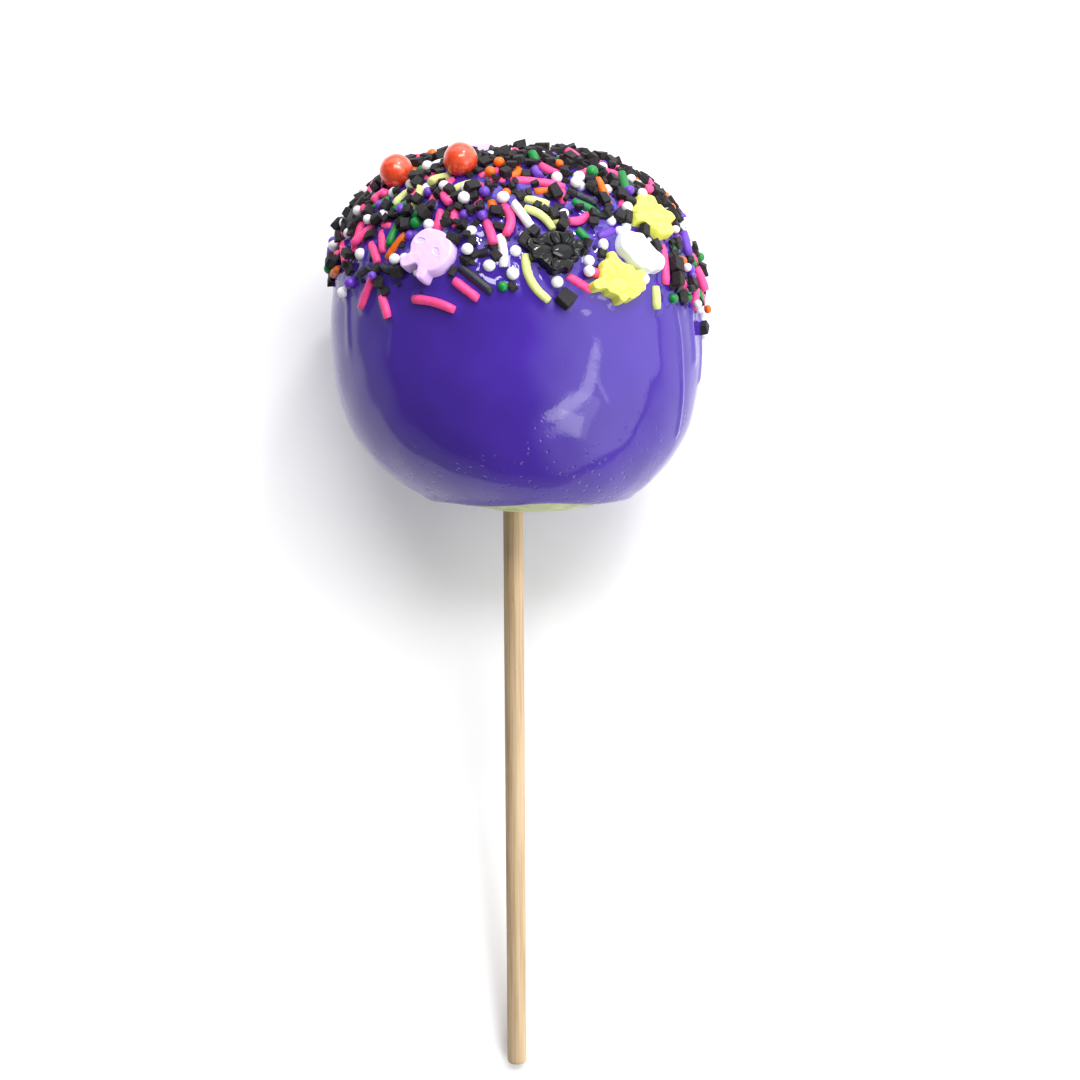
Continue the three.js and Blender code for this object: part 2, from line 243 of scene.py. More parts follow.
def skin_point(polar, azimuth, depth):
    """Points that stand the given depth outside the apple's skin."""
    polar, azimuth, depth = np.broadcast_arrays(
        *(np.asarray(v, float) for v in (polar, azimuth, depth))
    )
    height = np.cos(polar)
    head = height >= 0
    power = 2 / np.where(head, HEAD_FULLNESS, BASE_FULLNESS)
    reach = np.where(head, HEAD_HEIGHT, BASE_HEIGHT) + depth
    share = np.sign(height) * np.abs(height) ** power
    lobes = 1 + LOBE_SHARE * np.cos(LOBE_COUNT * azimuth + LOBE_PHASE) * np.sin(polar)
    radius = (APPLE_RADIUS + depth) * lobes * np.clip(np.sin(polar), 0, 1) ** power
    lean = np.where(head, HEAD_LEAN * share, BASE_LEAN * share * share)
    x = radius * np.sin(azimuth) + lean
    slant = BASE_SLANT * x * share * share
    hollow = STEM_HOLLOW[0] * bell(radius, STEM_HOLLOW[1])
    dimple = HEAD_DIMPLE[0] * bell(radius, HEAD_DIMPLE[1])
    y = reach * share + np.where(head, -dimple, hollow - slant)
    return np.stack([x, y, radius * np.cos(azimuth)], axis=-1)


def coat_depth(polar):
    """How far the outside of the toffee stands off the apple's skin."""
    turn = 2 * np.asarray(polar, float) / math.pi
    upper = COAT_AT_HEAD + (COAT_AT_WAIST - COAT_AT_HEAD) * turn
    lower = COAT_AT_WAIST + (COAT_AT_STICK - COAT_AT_WAIST) * (turn - 1)
    return COAT_GAP + np.where(turn < 1, upper, lower)


def coat_point(polar, azimuth):
    return skin_point(polar, azimuth, coat_depth(polar))


def rim_polar(azimuth):
    """The polar angle at which the toffee ends: an uneven round patch off to one side."""
    away = azimuth - BARE_DIRECTION
    across = BARE_OFFSET * np.sin(away)
    radius = BARE_OFFSET * np.cos(away) + np.sqrt(BARE_RADIUS**2 - across**2)
    for count, height, phase in BARE_WAVES:
        radius = radius + height * np.sin(count * azimuth + phase)
    return math.pi - np.arcsin((radius / APPLE_RADIUS) ** (BASE_FULLNESS / 2))


def lowest_of_coat(tilt):
    """Height and place along the core of the toffee's lowest point, before it is flattened."""
    x, y, z = coat_point(np.linspace(*LOW_BAND, LOW_STEPS), math.pi).T
    heights = y * math.sin(tilt) + z * math.cos(tilt)
    low = int(heights.argmin())
    level = y[low] * math.cos(tilt) - z[low] * math.sin(tilt)
    return float(heights[low]), float(level), float(x[low])


@functools.lru_cache(maxsize=None)
def lying_pose():
    """The fruit's frame in the part's frame: tilted so that coat and stick touch the floor."""
    low, high = TILT_BOUNDS
    for _ in range(TILT_STEPS):
        tilt = (low + high) / 2
        stick = (STICK_TIP + STICK_ROUNDING) * math.sin(tilt) - STICK_RADIUS * math.cos(tilt)
        if stick > lowest_of_coat(tilt)[0] + FLAT_DEPTH:
            low = tilt
        else:
            high = tilt
    height, level, across = lowest_of_coat(low)
    place = Vector((-across, -level, -height - FLAT_DEPTH)) * MM
    return Matrix.Translation(place) @ Matrix.Rotation(low, 4, "X") @ Matrix.Scale(MM, 4)


def laid(points):
    """Points of the fruit's frame, in metres in the part's frame."""
    pose = np.array(lying_pose())
    return np.asarray(points) @ pose[:3, :3].T + pose[:3, 3]


def laid_on_floor(points):
    """The same, with what would dip under the floor flattened on it."""
    places = laid(points)
    places[:, 2] = np.maximum(places[:, 2], 0.0)
    return places


def seat_axes(polar, azimuth, lean=0.0, turn=0.0):
    """Place and axes (right, towards the head, out) of a thing that sits on the toffee."""
    polars = polar + SEAT_STEP * np.array([0, 0, 0, 1, -1])
    azimuths = azimuth + SEAT_STEP * np.array([0, 1, -1, 0, 0])
    middle, east, west, south, north = coat_point(polars, azimuths)
    right = unit(east - west)
    out = unit(np.cross(south - north, right))
    up, out = turned(np.cross(out, right), out, lean)
    up, right = turned(up, right, turn)
    return middle, np.array([right, up, out])


def seat(azimuth, polar, lean=0.0, turn=0.0):
    """The same, for angles in degrees."""
    return seat_axes(*np.radians([polar, azimuth, lean, turn]))


def on_seat(place, x, y, z):
    """Points given along a seat's own axes, in the fruit's frame."""
    middle, axes = place
    return middle + np.stack(np.broadcast_arrays(x, y, z), axis=-1) @ axes


# ---------------------------------------------------------------- meshes


def ring_faces(rows, columns):
    """Faces of a closed skin that runs from a point, over rings, to a point."""
    column = np.arange(columns)
    after = (column + 1) % columns
    last = 1 + (rows - 1) * columns
    foot = last - columns
    faces = np.stack([0 * column, 1 + column, 1 + after], axis=1).tolist()
    for here in range(1, foot, columns):
        below = here + columns
        band = np.stack([here + column, below + column, below + after, here + after], axis=1)
        faces += band.tolist()
    return faces + np.stack([last + 0 * column, foot + after, foot + column], axis=1).tolist()


def ring_angles(rows, columns):
    """Polar angles and azimuths of a ball's rings, without its two poles."""
    polar = math.pi * np.arange(1, rows) / rows
    return np.meshgrid(polar, round_angles(columns), indexing="ij")


def joined_points(first, rings, last):
    return np.concatenate([[first], np.reshape(rings, (-1, 3)), [last]])


def linked(name, data):
    """A new object of the scene."""
    made = bpy.data.objects.new(name, data)
    bpy.context.scene.collection.objects.link(made)
    return made


def add_object(name, points, faces, material, smooth=True, **values):
    """An object from points in metres and faces, with named values for its material."""
    mesh = bpy.data.meshes.new(name)
    mesh.from_pydata(np.asarray(points).tolist(), [], faces)
    mesh.polygons.foreach_set("use_smooth", [smooth] * len(mesh.polygons))
    for key, numbers in values.items():
        layer = mesh.attributes.new(key, "FLOAT", "POINT")
        layer.data.foreach_set("value", np.asarray(numbers, np.float32))
    mesh.materials.append(material)
    mesh.update()
    return linked(name, mesh)


def settle(piece, slot, *nodes):
    """Says what the piece rides on and what it stands for. The slot is not used."""
    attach(piece, "root")
    if nodes:
        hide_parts(*nodes)


class Batch:
    """Many small closed meshes gathered into one."""

    def __init__(self):
        self.points = []
        self.faces = []
        self.tones = []
        self.size = 0

    def add(self, points, faces, tone):
        self.faces.extend([[index + self.size for index in face] for face in faces])
        self.points.append(points)
        self.tones.append(np.full(len(points), tone))
        self.size += len(points)

    def finish(self, name, material, smooth=True):
        points = laid(np.concatenate(self.points))
        tone = np.concatenate(self.tones)
        return add_object(name, points, self.faces, material, smooth, tone=tone)


def ball_mesh(rows, columns):
    """Points and faces of a ball of radius 1."""
    polar, azimuth = ring_angles(rows, columns)
    rings = np.stack([*on_circle(np.sin(polar), azimuth), np.cos(polar)], axis=-1)
    return joined_points((0, 0, 1), rings, (0, 0, -1)), ring_faces(rows, columns)


RIPPLE_WAVES = 7


def ripple(points, length, seed):
    """A smooth, seeded unevenness from about -1 to 1 over points in millimetres."""
    rng = np.random.default_rng(seed)
    total = np.zeros(len(points))
    for _ in range(RIPPLE_WAVES):
        direction = unit(rng.normal(size=3)) * TAU / (length * rng.uniform(0.7, 1.5))
        total += np.sin(points @ direction + rng.uniform(0, TAU))
    return total / math.sqrt(RIPPLE_WAVES)


# ---------------------------------------------------------------- materials


class Finish:
    """A material of one main shader and the nodes that feed it."""

    def __init__(self, name, roughness, ior=1.45):
        self.material = bpy.data.materials.new(name)
        self.material.use_nodes = True
        self.tree = self.material.node_tree
        self.shader = self.tree.nodes["Principled BSDF"]
        self.set("Roughness", roughness)
        self.set("IOR", ior)

    def feed(self, socket, value):
        if isinstance(value, bpy.types.NodeSocket):
            self.tree.links.new(value, socket)
        else:
            socket.default_value = value

    def node(self, kind, inputs=None, **options):
        made = self.tree.nodes.new(kind)
        for key, value in options.items():
            setattr(made, key, value)
        for key, value in (inputs or {}).items():
            self.feed(made.inputs[key], value)
        return made

    def set(self, socket, value):
        self.feed(self.shader.inputs[socket], value)

    def place(self, scale=(1, 1, 1), tilt=0.0):
        """The piece's own coordinates in metres, turned level and then stretched."""
        place = self.node("ShaderNodeTexCoord").outputs["Object"]
        if tilt:
            level = self.node("ShaderNodeMapping", {"Vector": place, "Rotation": (-tilt, 0, 0)})
            place = level.outputs["Vector"]
        stretch = self.node("ShaderNodeMapping", {"Vector": place, "Scale": scale})
        return stretch.outputs["Vector"]

    def noise(self, per_metre, detail=3.0, rough=0.5, place=None):
        """Noise from 0 to 1, with so many waves to a metre."""
        made = self.node(
            "ShaderNodeTexNoise",
            {"Vector": place or self.place(), "Scale": per_metre, "Detail": detail,
             "Roughness": rough},
        )
        return made.outputs["Fac"]

    def cells(self, per_metre, output="Distance"):
        """Cells, so many to a metre: the distance to the middle of each, or its colour."""
        inputs = {"Vector": self.place(), "Scale": per_metre}
        return self.node("ShaderNodeTexVoronoi", inputs).outputs[output]

    def value(self, name):
        return self.node("ShaderNodeAttribute", attribute_name=name).outputs["Fac"]

    def times(self, first, second):
        made = self.node("ShaderNodeMath", {0: first, 1: second}, operation="MULTIPLY")
        return made.outputs["Value"]

    def range(self, value, low, high, to_low=0.0, to_high=1.0):
        """A value's range spread softly over another one."""
        made = self.node(
            "ShaderNodeMapRange",
            {"Value": value, "From Min": low, "From Max": high, "To Min": to_low,
             "To Max": to_high},
            interpolation_type="SMOOTHSTEP",
        )
        return made.outputs["Result"]

    def mix(self, share, first, second):
        """Two colours mixed: 6 and 7 are the node's colour sockets, and 2 its colour."""
        made = self.node("ShaderNodeMix", data_type="RGBA")
        for socket, value in ((0, share), (6, first), (7, second)):
            self.feed(made.inputs[socket], value)
        return made.outputs[2]

    def bump(self, height, depth, strength=1.0, below=None):
        """A relief of the given depth in metres, on top of another one."""
        inputs = {"Height": height, "Distance": depth, "Strength": strength}
        if below is not None:
            inputs["Normal"] = below
        return self.node("ShaderNodeBump", inputs).outputs["Normal"]


def darker(colour, share):
    return (*(channel * share for channel in colour[:3]), 1.0)


BUBBLES_PER_METRE = 820.0


def toffee_finish():
    look = settings("toffee")
    finish = Finish("set_toffee", look.gloss, 1.5)
    cloud = finish.range(finish.noise(60.0, 2.0), 0.35, 0.7)
    finish.set("Base Color", finish.mix(cloud, look.deep, look.colour))
    # burst bubbles: pits in the middle of some of the cells
    pits = finish.range(finish.cells(BUBBLES_PER_METRE), 0.10, 0.34, 1.0, 0.0)
    colour = finish.cells(BUBBLES_PER_METRE, "Color")
    chance = finish.node("ShaderNodeSeparateColor", {"Color": colour}).outputs["Red"]
    pits = finish.times(pits, finish.range(chance, 0.55, 0.62))
    pits = finish.times(pits, finish.value("bubbles"))
    slow = finish.bump(finish.noise(150.0, 1.0), 0.12 * MM, 0.5)
    peel = finish.bump(finish.noise(1500.0, 2.0), 0.012 * MM, 1.0, slow)
    finish.set("Normal", finish.bump(pits, -0.16 * MM, 1.0, peel))
    return finish.material


def skin_finish():
    look = settings("fruit")
    finish = Finish("apple_skin", 0.42)
    streaks = finish.noise(320.0, 4.0, 0.6, finish.place((1, 0.12, 1)))
    tint = finish.mix(finish.range(streaks, 0.35, 0.7), look.skin, look.blush)
    dots = finish.range(finish.cells(260.0), 0.07, 0.13, 1.0, 0.0)
    tint = finish.mix(finish.times(dots, 0.55), tint, srgb(214, 216, 178))
    tint = finish.mix(finish.value("hollow"), tint, srgb(150, 132, 78))
    finish.set("Base Color", tint)
    finish.set("Subsurface Weight", 0.12)
    finish.set("Subsurface Radius", (4 * MM, 3 * MM, 1.5 * MM))
    finish.set("Normal", finish.bump(finish.noise(900.0, 4.0), 0.08 * MM, 0.4))
    return finish.material


def wood_finish():
    look = settings("fruit")
    finish = Finish("stick_wood", 0.62, 1.4)
    tilt = lying_pose().to_euler().x
    fine = finish.noise(2400.0, 4.0, 0.6, finish.place((1, 0.018, 1), tilt))
    broad = finish.noise(520.0, 2.0, 0.5, finish.place((1, 0.03, 1), tilt))
    tint = finish.mix(finish.range(fine, 0.38, 0.68), look.wood, look.grain)
    pale = finish.range(broad, 0.35, 0.65, 0.0, 0.5)
    tint = finish.mix(pale, tint, srgb(197, 175, 141))
    flecks = finish.noise(1500.0, 2.0, 0.5, finish.place((1, 0.09, 1), tilt))
    flecks = finish.range(flecks, 0.70, 0.78, 0.0, 0.75)
    tint = finish.mix(flecks, tint, srgb(150, 108, 70))
    finish.set("Base Color", tint)
    finish.set("Normal", finish.bump(fine, 0.12 * MM, 0.6))
    return finish.material


def sugar_finish(name, colour, roughness, grain, soft, speck):
    """Pressed or rolled sugar: fine grain, faint mottling, a little light let through."""
    finish = Finish(name, roughness)
    tone = finish.value("tone")
    mottle = finish.range(finish.noise(1300.0, 4.0, 0.6), 0.3, 0.75)
    tint = finish.mix(finish.times(mottle, speck), colour, darker(colour, 0.62))
    tint = finish.mix(finish.range(tone, 0.0, 1.0, 0.0, 0.35), tint, darker(colour, 0.66))
    finish.set("Base Color", tint)
    finish.set("Subsurface Weight", soft)
    finish.set("Subsurface Radius", (1.1 * MM, 0.9 * MM, 0.8 * MM))
    rough = finish.bump(finish.noise(2600.0, 4.0, 0.6), 0.09 * MM, grain)
    finish.set("Normal", finish.bump(finish.noise(700.0, 2.0), 0.12 * MM, grain * 0.6, rough))
    return finish


@functools.lru_cache(maxsize=None)
def pearl_finish():
    look = settings("sweets")
    finish = Finish("pearl_sugar", 0.28, 1.5)
    # Painted sheen: towards the pearls' rims, as the camera sees them, the colour turns to the
    # pale one.
    facing = finish.node("ShaderNodeLayerWeight", {"Blend": 0.35}).outputs["Facing"]
    shimmer = finish.range(finish.noise(900.0, 3.0), 0.35, 0.7)
    tint = finish.mix(finish.times(shimmer, 0.22), look.pearl, look.shimmer_and_painted_sheen)
    tint = finish.mix(finish.range(facing, 0.45, 0.98, 0.0, 0.5), tint, look.shimmer_and_painted_sheen)
    finish.set("Base Color", tint)
    finish.set("Metallic", 0.15)
    finish.set("Coat Weight", 0.6)
    finish.set("Coat Roughness", 0.12)
    finish.set("Normal", finish.bump(finish.noise(1500.0, 3.0), 0.06 * MM, 0.5))
    return finish.material


@functools.lru_cache(maxsize=None)
def crumb_finish():
    finish = Finish("biscuit_crumb", 0.62, 1.4)
    mottle = finish.range(finish.noise(1800.0, 5.0, 0.65), 0.35, 0.7)
    tone = finish.value("tone")
    tint = finish.mix(mottle, srgb(33, 30, 32), srgb(50, 46, 47))
    tint = finish.mix(finish.times(tone, 0.6), tint, srgb(24, 24, 30))
    finish.set("Base Color", tint)
    finish.set("Specular IOR Level", 0.35)
    finish.set("Normal", finish.bump(finish.noise(2600.0, 5.0, 0.7), 0.22 * MM, 0.8))
    return finish.material


# ---------------------------------------------------------------- the sweets' forms
# Outlines are a round of a radius with rises in it: direction and spread in degrees,
# counter-clockwise from the sweet's right, and height in millimetres.

GHOST = (4.2, (
    (-118, 2.15, 14), (-91, -0.6, 12), (-64, 1.45, 12), (170, 0.6, 38), (42, 0.3, 25),
))
PLAIN = (3.5, ((90, 1.5, 38), (-90, 2.0, 22), (-125, 0.9, 20), (-25, -0.7, 30)))
LOW_SPIDER = (3.9, (
    (98, 1.35, 12), (128, 0.5, 15), (60, -0.6, 18), (6, 1.7, 11), (-18, 1.6, 12),
    (-38, 1.0, 12), (-60, 0.6, 13), (-95, 0.5, 13), (-122, -0.4, 14), (-170, 2.3, 12),
))
HIGH_SPIDER = (4.1, (
    (-2, 2.3, 13), (24, 0.9, 12), (55, 1.7, 13), (90, 1.2, 14), (122, 0.6, 13),
    (150, 1.0, 13), (177, 2.0, 12), (-54, 0.6, 15), (-140, -0.4, 16),
))
BLACK_SPIDER = (3.85, (
    (163, 2.0, 14), (-170, 1.3, 13), (-107, 0.5, 14), (-60, 0.5, 14), (-15, 0.6, 13),
    (12, 1.5, 14), (46, 0.9, 15),
))
# Each eye's place, half length, half width and turn.
GHOST_EYES = ((-3.0, 0.1, 1.1, 0.48, 38), (1.4, 0.65, 1.0, 0.5, -8))

Sweet = namedtuple("Sweet", "name outline height colour has_eyes body azimuth polar lean turn")
# A spider's body has a place of its own on the sweet. Angles are in degrees.
SWEETS = tuple(Sweet._make(row) for row in (
    ("ghost_front", GHOST, 2.7, "lilac", True, None, -25, 63, 5, -36),
    ("ghost_crown", GHOST, 2.7, "lilac", False, None, -142, 15, 0, 100),
    ("ghost_left", GHOST, 2.7, "lilac", True, None, -105, 63, 0, 25),
    ("ghost_back", GHOST, 2.7, "lilac", True, None, 146, 55, 0, -70),
    ("white_right", PLAIN, 2.5, "white", False, None, 43, 63.5, 2, 56),
    ("white_back", PLAIN, 2.5, "white", False, None, -140, 44, 0, 160),
    ("spider_low", LOW_SPIDER, 2.8, "yellow", False, (-0.75, -1.35), 32.5, 71.5, 8, 0),
    ("spider_high", HIGH_SPIDER, 2.7, "yellow", False, (0.3, 0.2), 56, 53, 4, 0),
    ("spider_black", BLACK_SPIDER, 2.6, "black", False, (0.8, -0.45), 13.5, 62, 4, 0),
    ("spider_side", LOW_SPIDER, 2.8, "yellow", False, (-0.75, -1.35), 112, 60, 0, 130),
    ("spider_back", BLACK_SPIDER, 2.6, "black", False, (0.8, -0.45), -168, 64, 0, 75),
))
# name, azimuth, polar angle
PEARLS = (
    ("pearl_left", -61, 34),
    ("pearl_crown", -28, 25),
    ("pearl_right", 128, 47),
    ("pearl_back", -122, 72),
)
PEARL_RADIUS = 3.25


def outline_radius(outline, angle):
    base, rises = outline
    degrees = np.degrees(angle)
    radius = np.full(np.shape(degrees), float(base))
    for at, height, spread in rises:
        away = degrees - at
        radius = radius + height * plateau(away - 360 * np.round(away / 360), spread)
    return radius


def surface_drop(x, y):
    """How far the round toffee falls away from a flat plane laid on it."""
    return -(x * x + y * y) / (2 * (APPLE_RADIUS + 1))


def seat_level(sweet, x, y):
    """Height of the toffee under a sweet that leans towards the head."""
    towards_head = turned(x, y, math.radians(sweet.turn))[1]
    return surface_drop(x, y) + towards_head * math.tan(math.radians(sweet.lean))


def sweet_seat(sweet):
    return seat(sweet.azimuth, sweet.polar, sweet.lean, sweet.turn)


# ---------------------------------------------------------------- laying the sprinkles

# The sprinkled field, in degrees of polar angle: its edge, how much lower that comes on the
# right and on the left, how softly it ends, and how fast the sprinkles thin out there.
FIELD_EDGE = 78.0
FIELD_TO_RIGHT = 14.0
FIELD_TO_LEFT = 4.0
FIELD_FADE = 15.0
FIELD_THINNING = 1.6
LOWEST_COSINE = -0.1  # of the polar angle of a place that is picked at all

# How things keep apart, in millimetres.
FLOOR_CLEARANCE = 0.6
OVERLAP = 0.16
SEARCH_MARGIN = 2.6
BED_ROOM = 24000  # balls
NOWHERE = 1e6

# The balls that fill a sweet: shares of its outline, shares of its height, their size, and
# how far inside its outline and under its face they stay.
FILL_SHARES = (0.0, 0.32, 0.6, 0.8, 0.93)
FILL_RISES = (0.0, 0.5, 1.0, 1.6)
FILL_COLUMNS = 18
FILL_RADIUS = 0.85
FILL_INSET = 0.7
FILL_TOP_INSET = 1.6
# The balls that keep the air over a thing laid at a listed place clear.
CLEAR_RISES = (1.1, 2.2, 3.3)
CLEAR_RADIUS = 0.75

CRUMB_ROOM = 0.37  # share of its size that a crumb keeps to itself
CRUMB_SINK = 0.12
CRUMB_SIZES = ((0.62, 0.2), (0.8, 0.35), (1.0, 0.3), (1.25, 0.15))  # and their shares
FEWER_CRUMBS = 0.6  # share of the crumbs that is left out towards the field's edge
FEWER_CRUMBS_BAND = (48, 64)  # degrees
CRUMB_SPREAD = (0.9, 1.1)
DUST_SIZES = (0.5, 1.1)
BALL_SINK = 0.2
BALL_SIZES = ((0.75, 0.15), (0.92, 0.3), (1.0, 0.4), (1.12, 0.15))
PLACED_BALL_SIZES = (0.92, 1.12)
STRAND_SIZES = (0.9, 1.08)
PLACED_STRAND_SIZES = (0.94, 1.06)
STRAND_LENGTHS = (2.4, 5.2, 8.5)  # shortest, commonest, longest
STRAND_BEND = 0.22
# Lifts shrink to a share towards the middle of the fruit's upper side: the cosines of the
# angles off it at which they are smallest and at which they are whole.
CALM_SIDE = (math.cos(math.radians(8)), math.cos(math.radians(40)))
CALM_SHARE = 0.25

# Sprinkles laid at listed places: colour, azimuth, polar angle, heading, length, bend. Degrees,
# mm.
PLACED_JIMMIES = (
    ("pink", -51, 76, -115, 7.0, 0.0), ("pink", -42, 79, -62, 4.6, 0.1),
    ("pink", -24, 77, -10, 9.2, 0.35), ("navy", -54, 70, 25, 4.6, 0.0),
    ("orange", -41, 61, 60, 6.0, 0.05), ("pink", -50, 64, -45, 5.4, 0.1),
    ("pink", -48, 60, -60, 5.0, 0.0), ("pink", -70, 66, -35, 8.0, 0.1),
    ("pink", -84, 68, -30, 5.0, 0.0), ("orange", -75, 72, 20, 4.6, 0.0),
    ("pink", -80, 60, 82, 5.0, 0.0), ("navy", -11, 70, -36, 8.0, 0.05),
    ("pink", -14, 73, -34, 6.2, 0.0), ("lime", 6, 70, -65, 10.0, -1.1),
    ("pink", 20, 71.5, -33, 5.4, 0.0), ("white", -3, 61, -82, 6.6, 0.25),
    ("pink", 0.5, 62.5, 13, 4.6, 0.0), ("pink", -7, 55, -70, 6.0, 0.1),
    ("pink", -1, 50, -85, 7.5, 0.8), ("white", 4, 49, -55, 6.5, 0.0),
    ("pink", 13, 32, -15, 10.5, 0.1), ("orange", 15, 37, 0, 4.6, 0.0),
    ("lime", 10, 42, -20, 5.0, 0.0), ("green", 29, 45, -38, 5.5, 0.1),
    ("navy", 31, 41, -35, 5.0, 0.1), ("pink", 29, 52, -120, 6.2, 0.2),
    ("violet", 33, 56, 14, 4.4, 0.0), ("pink", 54, 68, -105, 8.0, 0.1),
    ("lime", 47, 77, -95, 4.6, 0.0), ("green", 80, 61, -45, 6.0, 0.0),
    ("green", 62, 65, -80, 4.0, 0.2), ("green", 76, 68, -60, 5.0, 0.0),
    ("navy", 60, 77, -50, 4.8, 0.8), ("pink", 70, 79, -130, 5.4, 0.0),
    ("pink", 80, 80, -60, 4.4, 0.0), ("lime", 92, 37, -95, 6.0, -0.4),
    ("pink", 60, 27, -25, 7.5, 0.0), ("pink", 42, 27, -155, 5.0, 0.0),
    ("pink", -66, 33, -75, 4.9, 0.3), ("green", -62, 47, 45, 6.8, 0.1),
    ("lime", -50, 41, 65, 5.4, 0.4), ("green", -47, 46, 30, 4.4, 0.0),
    ("green", -35, 47, 45, 4.2, 0.2), ("pink", -84, 49, -40, 4.0, 0.0),
    ("pink", -26, 51, -80, 4.6, 0.0), ("lime", -21, 34, 30, 5.0, 0.2),
    ("green", 24, 56, -53, 3.0, 0.0), ("pink", -12, 26, 50, 4.6, 0.0),
)
# colour, azimuth, polar angle
PLACED_BALLS = (
    ("white", -29, 53), ("white", -57, 65), ("white", -64, 77), ("violet", -60, 74),
    ("violet", -36, 57), ("green", -3, 72), ("white", -7, 66), ("white", 13, 71),
    ("green", 20, 68.5), ("white", 24, 65), ("violet", -17, 48), ("violet", -10, 49),
    ("orange", -2, 38), ("white", -3, 42), ("pink", 35, 58), ("orange", 65, 68),
    ("violet", 67, 61), ("violet", 70, 71), ("white", 61, 76), ("white", -39, 37),
)
# azimuth, polar angle, size, turn
PLACED_CRUMBS = (
    (15, 75.5, 3.4, 45), (-42, 75, 1.9, 30), (-47, 69, 2.6, 60), (-9, 62, 2.2, 15),
    (-14, 64, 2.4, 55), (-62, 70, 2.4, 35), (-55, 58, 2.6, 20),
)
JIMMY_MIX = (
    ("pink", 0.55), ("green", 0.1), ("orange", 0.08), ("lime", 0.06), ("white", 0.06),
    ("navy", 0.11), ("violet", 0.04),
)
BALL_MIX = (
    ("white", 0.66), ("violet", 0.18), ("orange", 0.07), ("green", 0.04), ("pink", 0.05),
)
# How far things may be lifted on to others, in millimetres, the least first. A strand has a
# lift at each end.
STRAND_LIFTS = (
    (0.0, 0.0), (0.0, 0.7), (0.7, 0.0), (0.7, 0.7), (0.0, 1.3), (1.3, 0.0), (0.7, 1.3),
    (1.3, 0.7), (1.3, 1.3),
)
PLACED_BALL_LIFTS = (0.0, 0.5, 1.0)
PLACED_CRUMB_LIFTS = (0.0, 0.5)
LIFTS = (0.0, 0.6, 1.2)
DUST_LIFTS = (0.0, 0.3)


class Bed:
    """What already lies on the toffee, as balls that touch or overlap."""

    def __init__(self):
        self.centres = np.full((BED_ROOM, 3), NOWHERE)
        self.radii = np.zeros(BED_ROOM)
        self.size = 0

    def add(self, centres, radius):
        end = self.size + len(centres)
        self.centres[self.size:end] = centres
        self.radii[self.size:end] = radius
        self.size = end

    def is_free(self, centres, radius):
        middle = centres.mean(axis=0)
        reach = np.abs(centres - middle).max() + radius + SEARCH_MARGIN
        held = self.centres[:self.size]
        near = (np.abs(held - middle) < reach).all(axis=1)
        if not near.any():
            return True
        away = np.linalg.norm(held[near][:, None] - centres[None], axis=2)
        return bool((away - self.radii[:self.size][near][:, None] > radius - OVERLAP).all())


def field_edge(azimuth):
    """Polar angle at which the sprinkles end, in degrees."""
    side = np.sin(azimuth)
    right, left = np.maximum(side, 0) ** 3, np.maximum(-side, 0) ** 3
    return FIELD_EDGE + FIELD_TO_RIGHT * right + FIELD_TO_LEFT * left


def pick_place(rng):
    """A random seat in the sprinkled field, rarer towards its edge, and its polar angle."""
    while True:
        azimuth = rng.uniform(-math.pi, math.pi)
        polar = math.acos(rng.uniform(LOWEST_COSINE, 1.0))
        edge = field_edge(azimuth)
        inside = smooth_step(edge, edge - FIELD_FADE, math.degrees(polar))
        if rng.uniform() < inside ** FIELD_THINNING:
            return seat_axes(polar, azimuth), math.degrees(polar)


def strand_points(place, heading, length, bend, lifts, radius):
    """The middle line of a strand that lies on the toffee."""
    along = np.linspace(-0.5, 0.5, max(3, math.ceil(length / radius) + 1))
    across = bend * (0.5 - 4 * np.square(along))
    x, y = turned(along * (length - 2 * radius), across, heading)
    lift = lifts[0] + (lifts[1] - lifts[0]) * (along + 0.5)
    z = surface_drop(x, y) + radius * (1 - 2 * settings("sprinkles").sink) + lift
    return on_seat(place, x, y, z)


def clears_floor(centres, radius):
    return laid(centres)[:, 2].min() / MM - radius > FLOOR_CLEARANCE


def cover_sweets(bed):
    """Fills the sweets and pearls, and the air over them, so that nothing is laid there."""
    angles = round_angles(FILL_COLUMNS)
    for sweet in SWEETS:
        inner = outline_radius(sweet.outline, angles) - FILL_INSET
        for share in FILL_SHARES:
            x, y = on_circle(share * inner, angles)
            level = seat_level(sweet, x, y)
            for rise in FILL_RISES:
                z = level + FILL_INSET + (sweet.height - FILL_TOP_INSET - level) * rise
                bed.add(on_seat(sweet_seat(sweet), x, y, z), FILL_RADIUS)
    for _, azimuth, polar in PEARLS:
        bed.add(on_seat(seat(azimuth, polar), 0, 0, PEARL_RADIUS)[None], PEARL_RADIUS)


def calmed(place, lifts):
    """Lifts that are smaller towards the middle of the fruit's upper side."""
    middle, _ = place
    share = smooth_step(*CALM_SIDE, middle[2] / np.linalg.norm(middle))
    return np.array(lifts) * (CALM_SHARE + (1 - CALM_SHARE) * share)


def pick(rng, mix):
    names, shares = zip(*mix)
    return rng.choice(names, p=np.array(shares) / sum(shares))


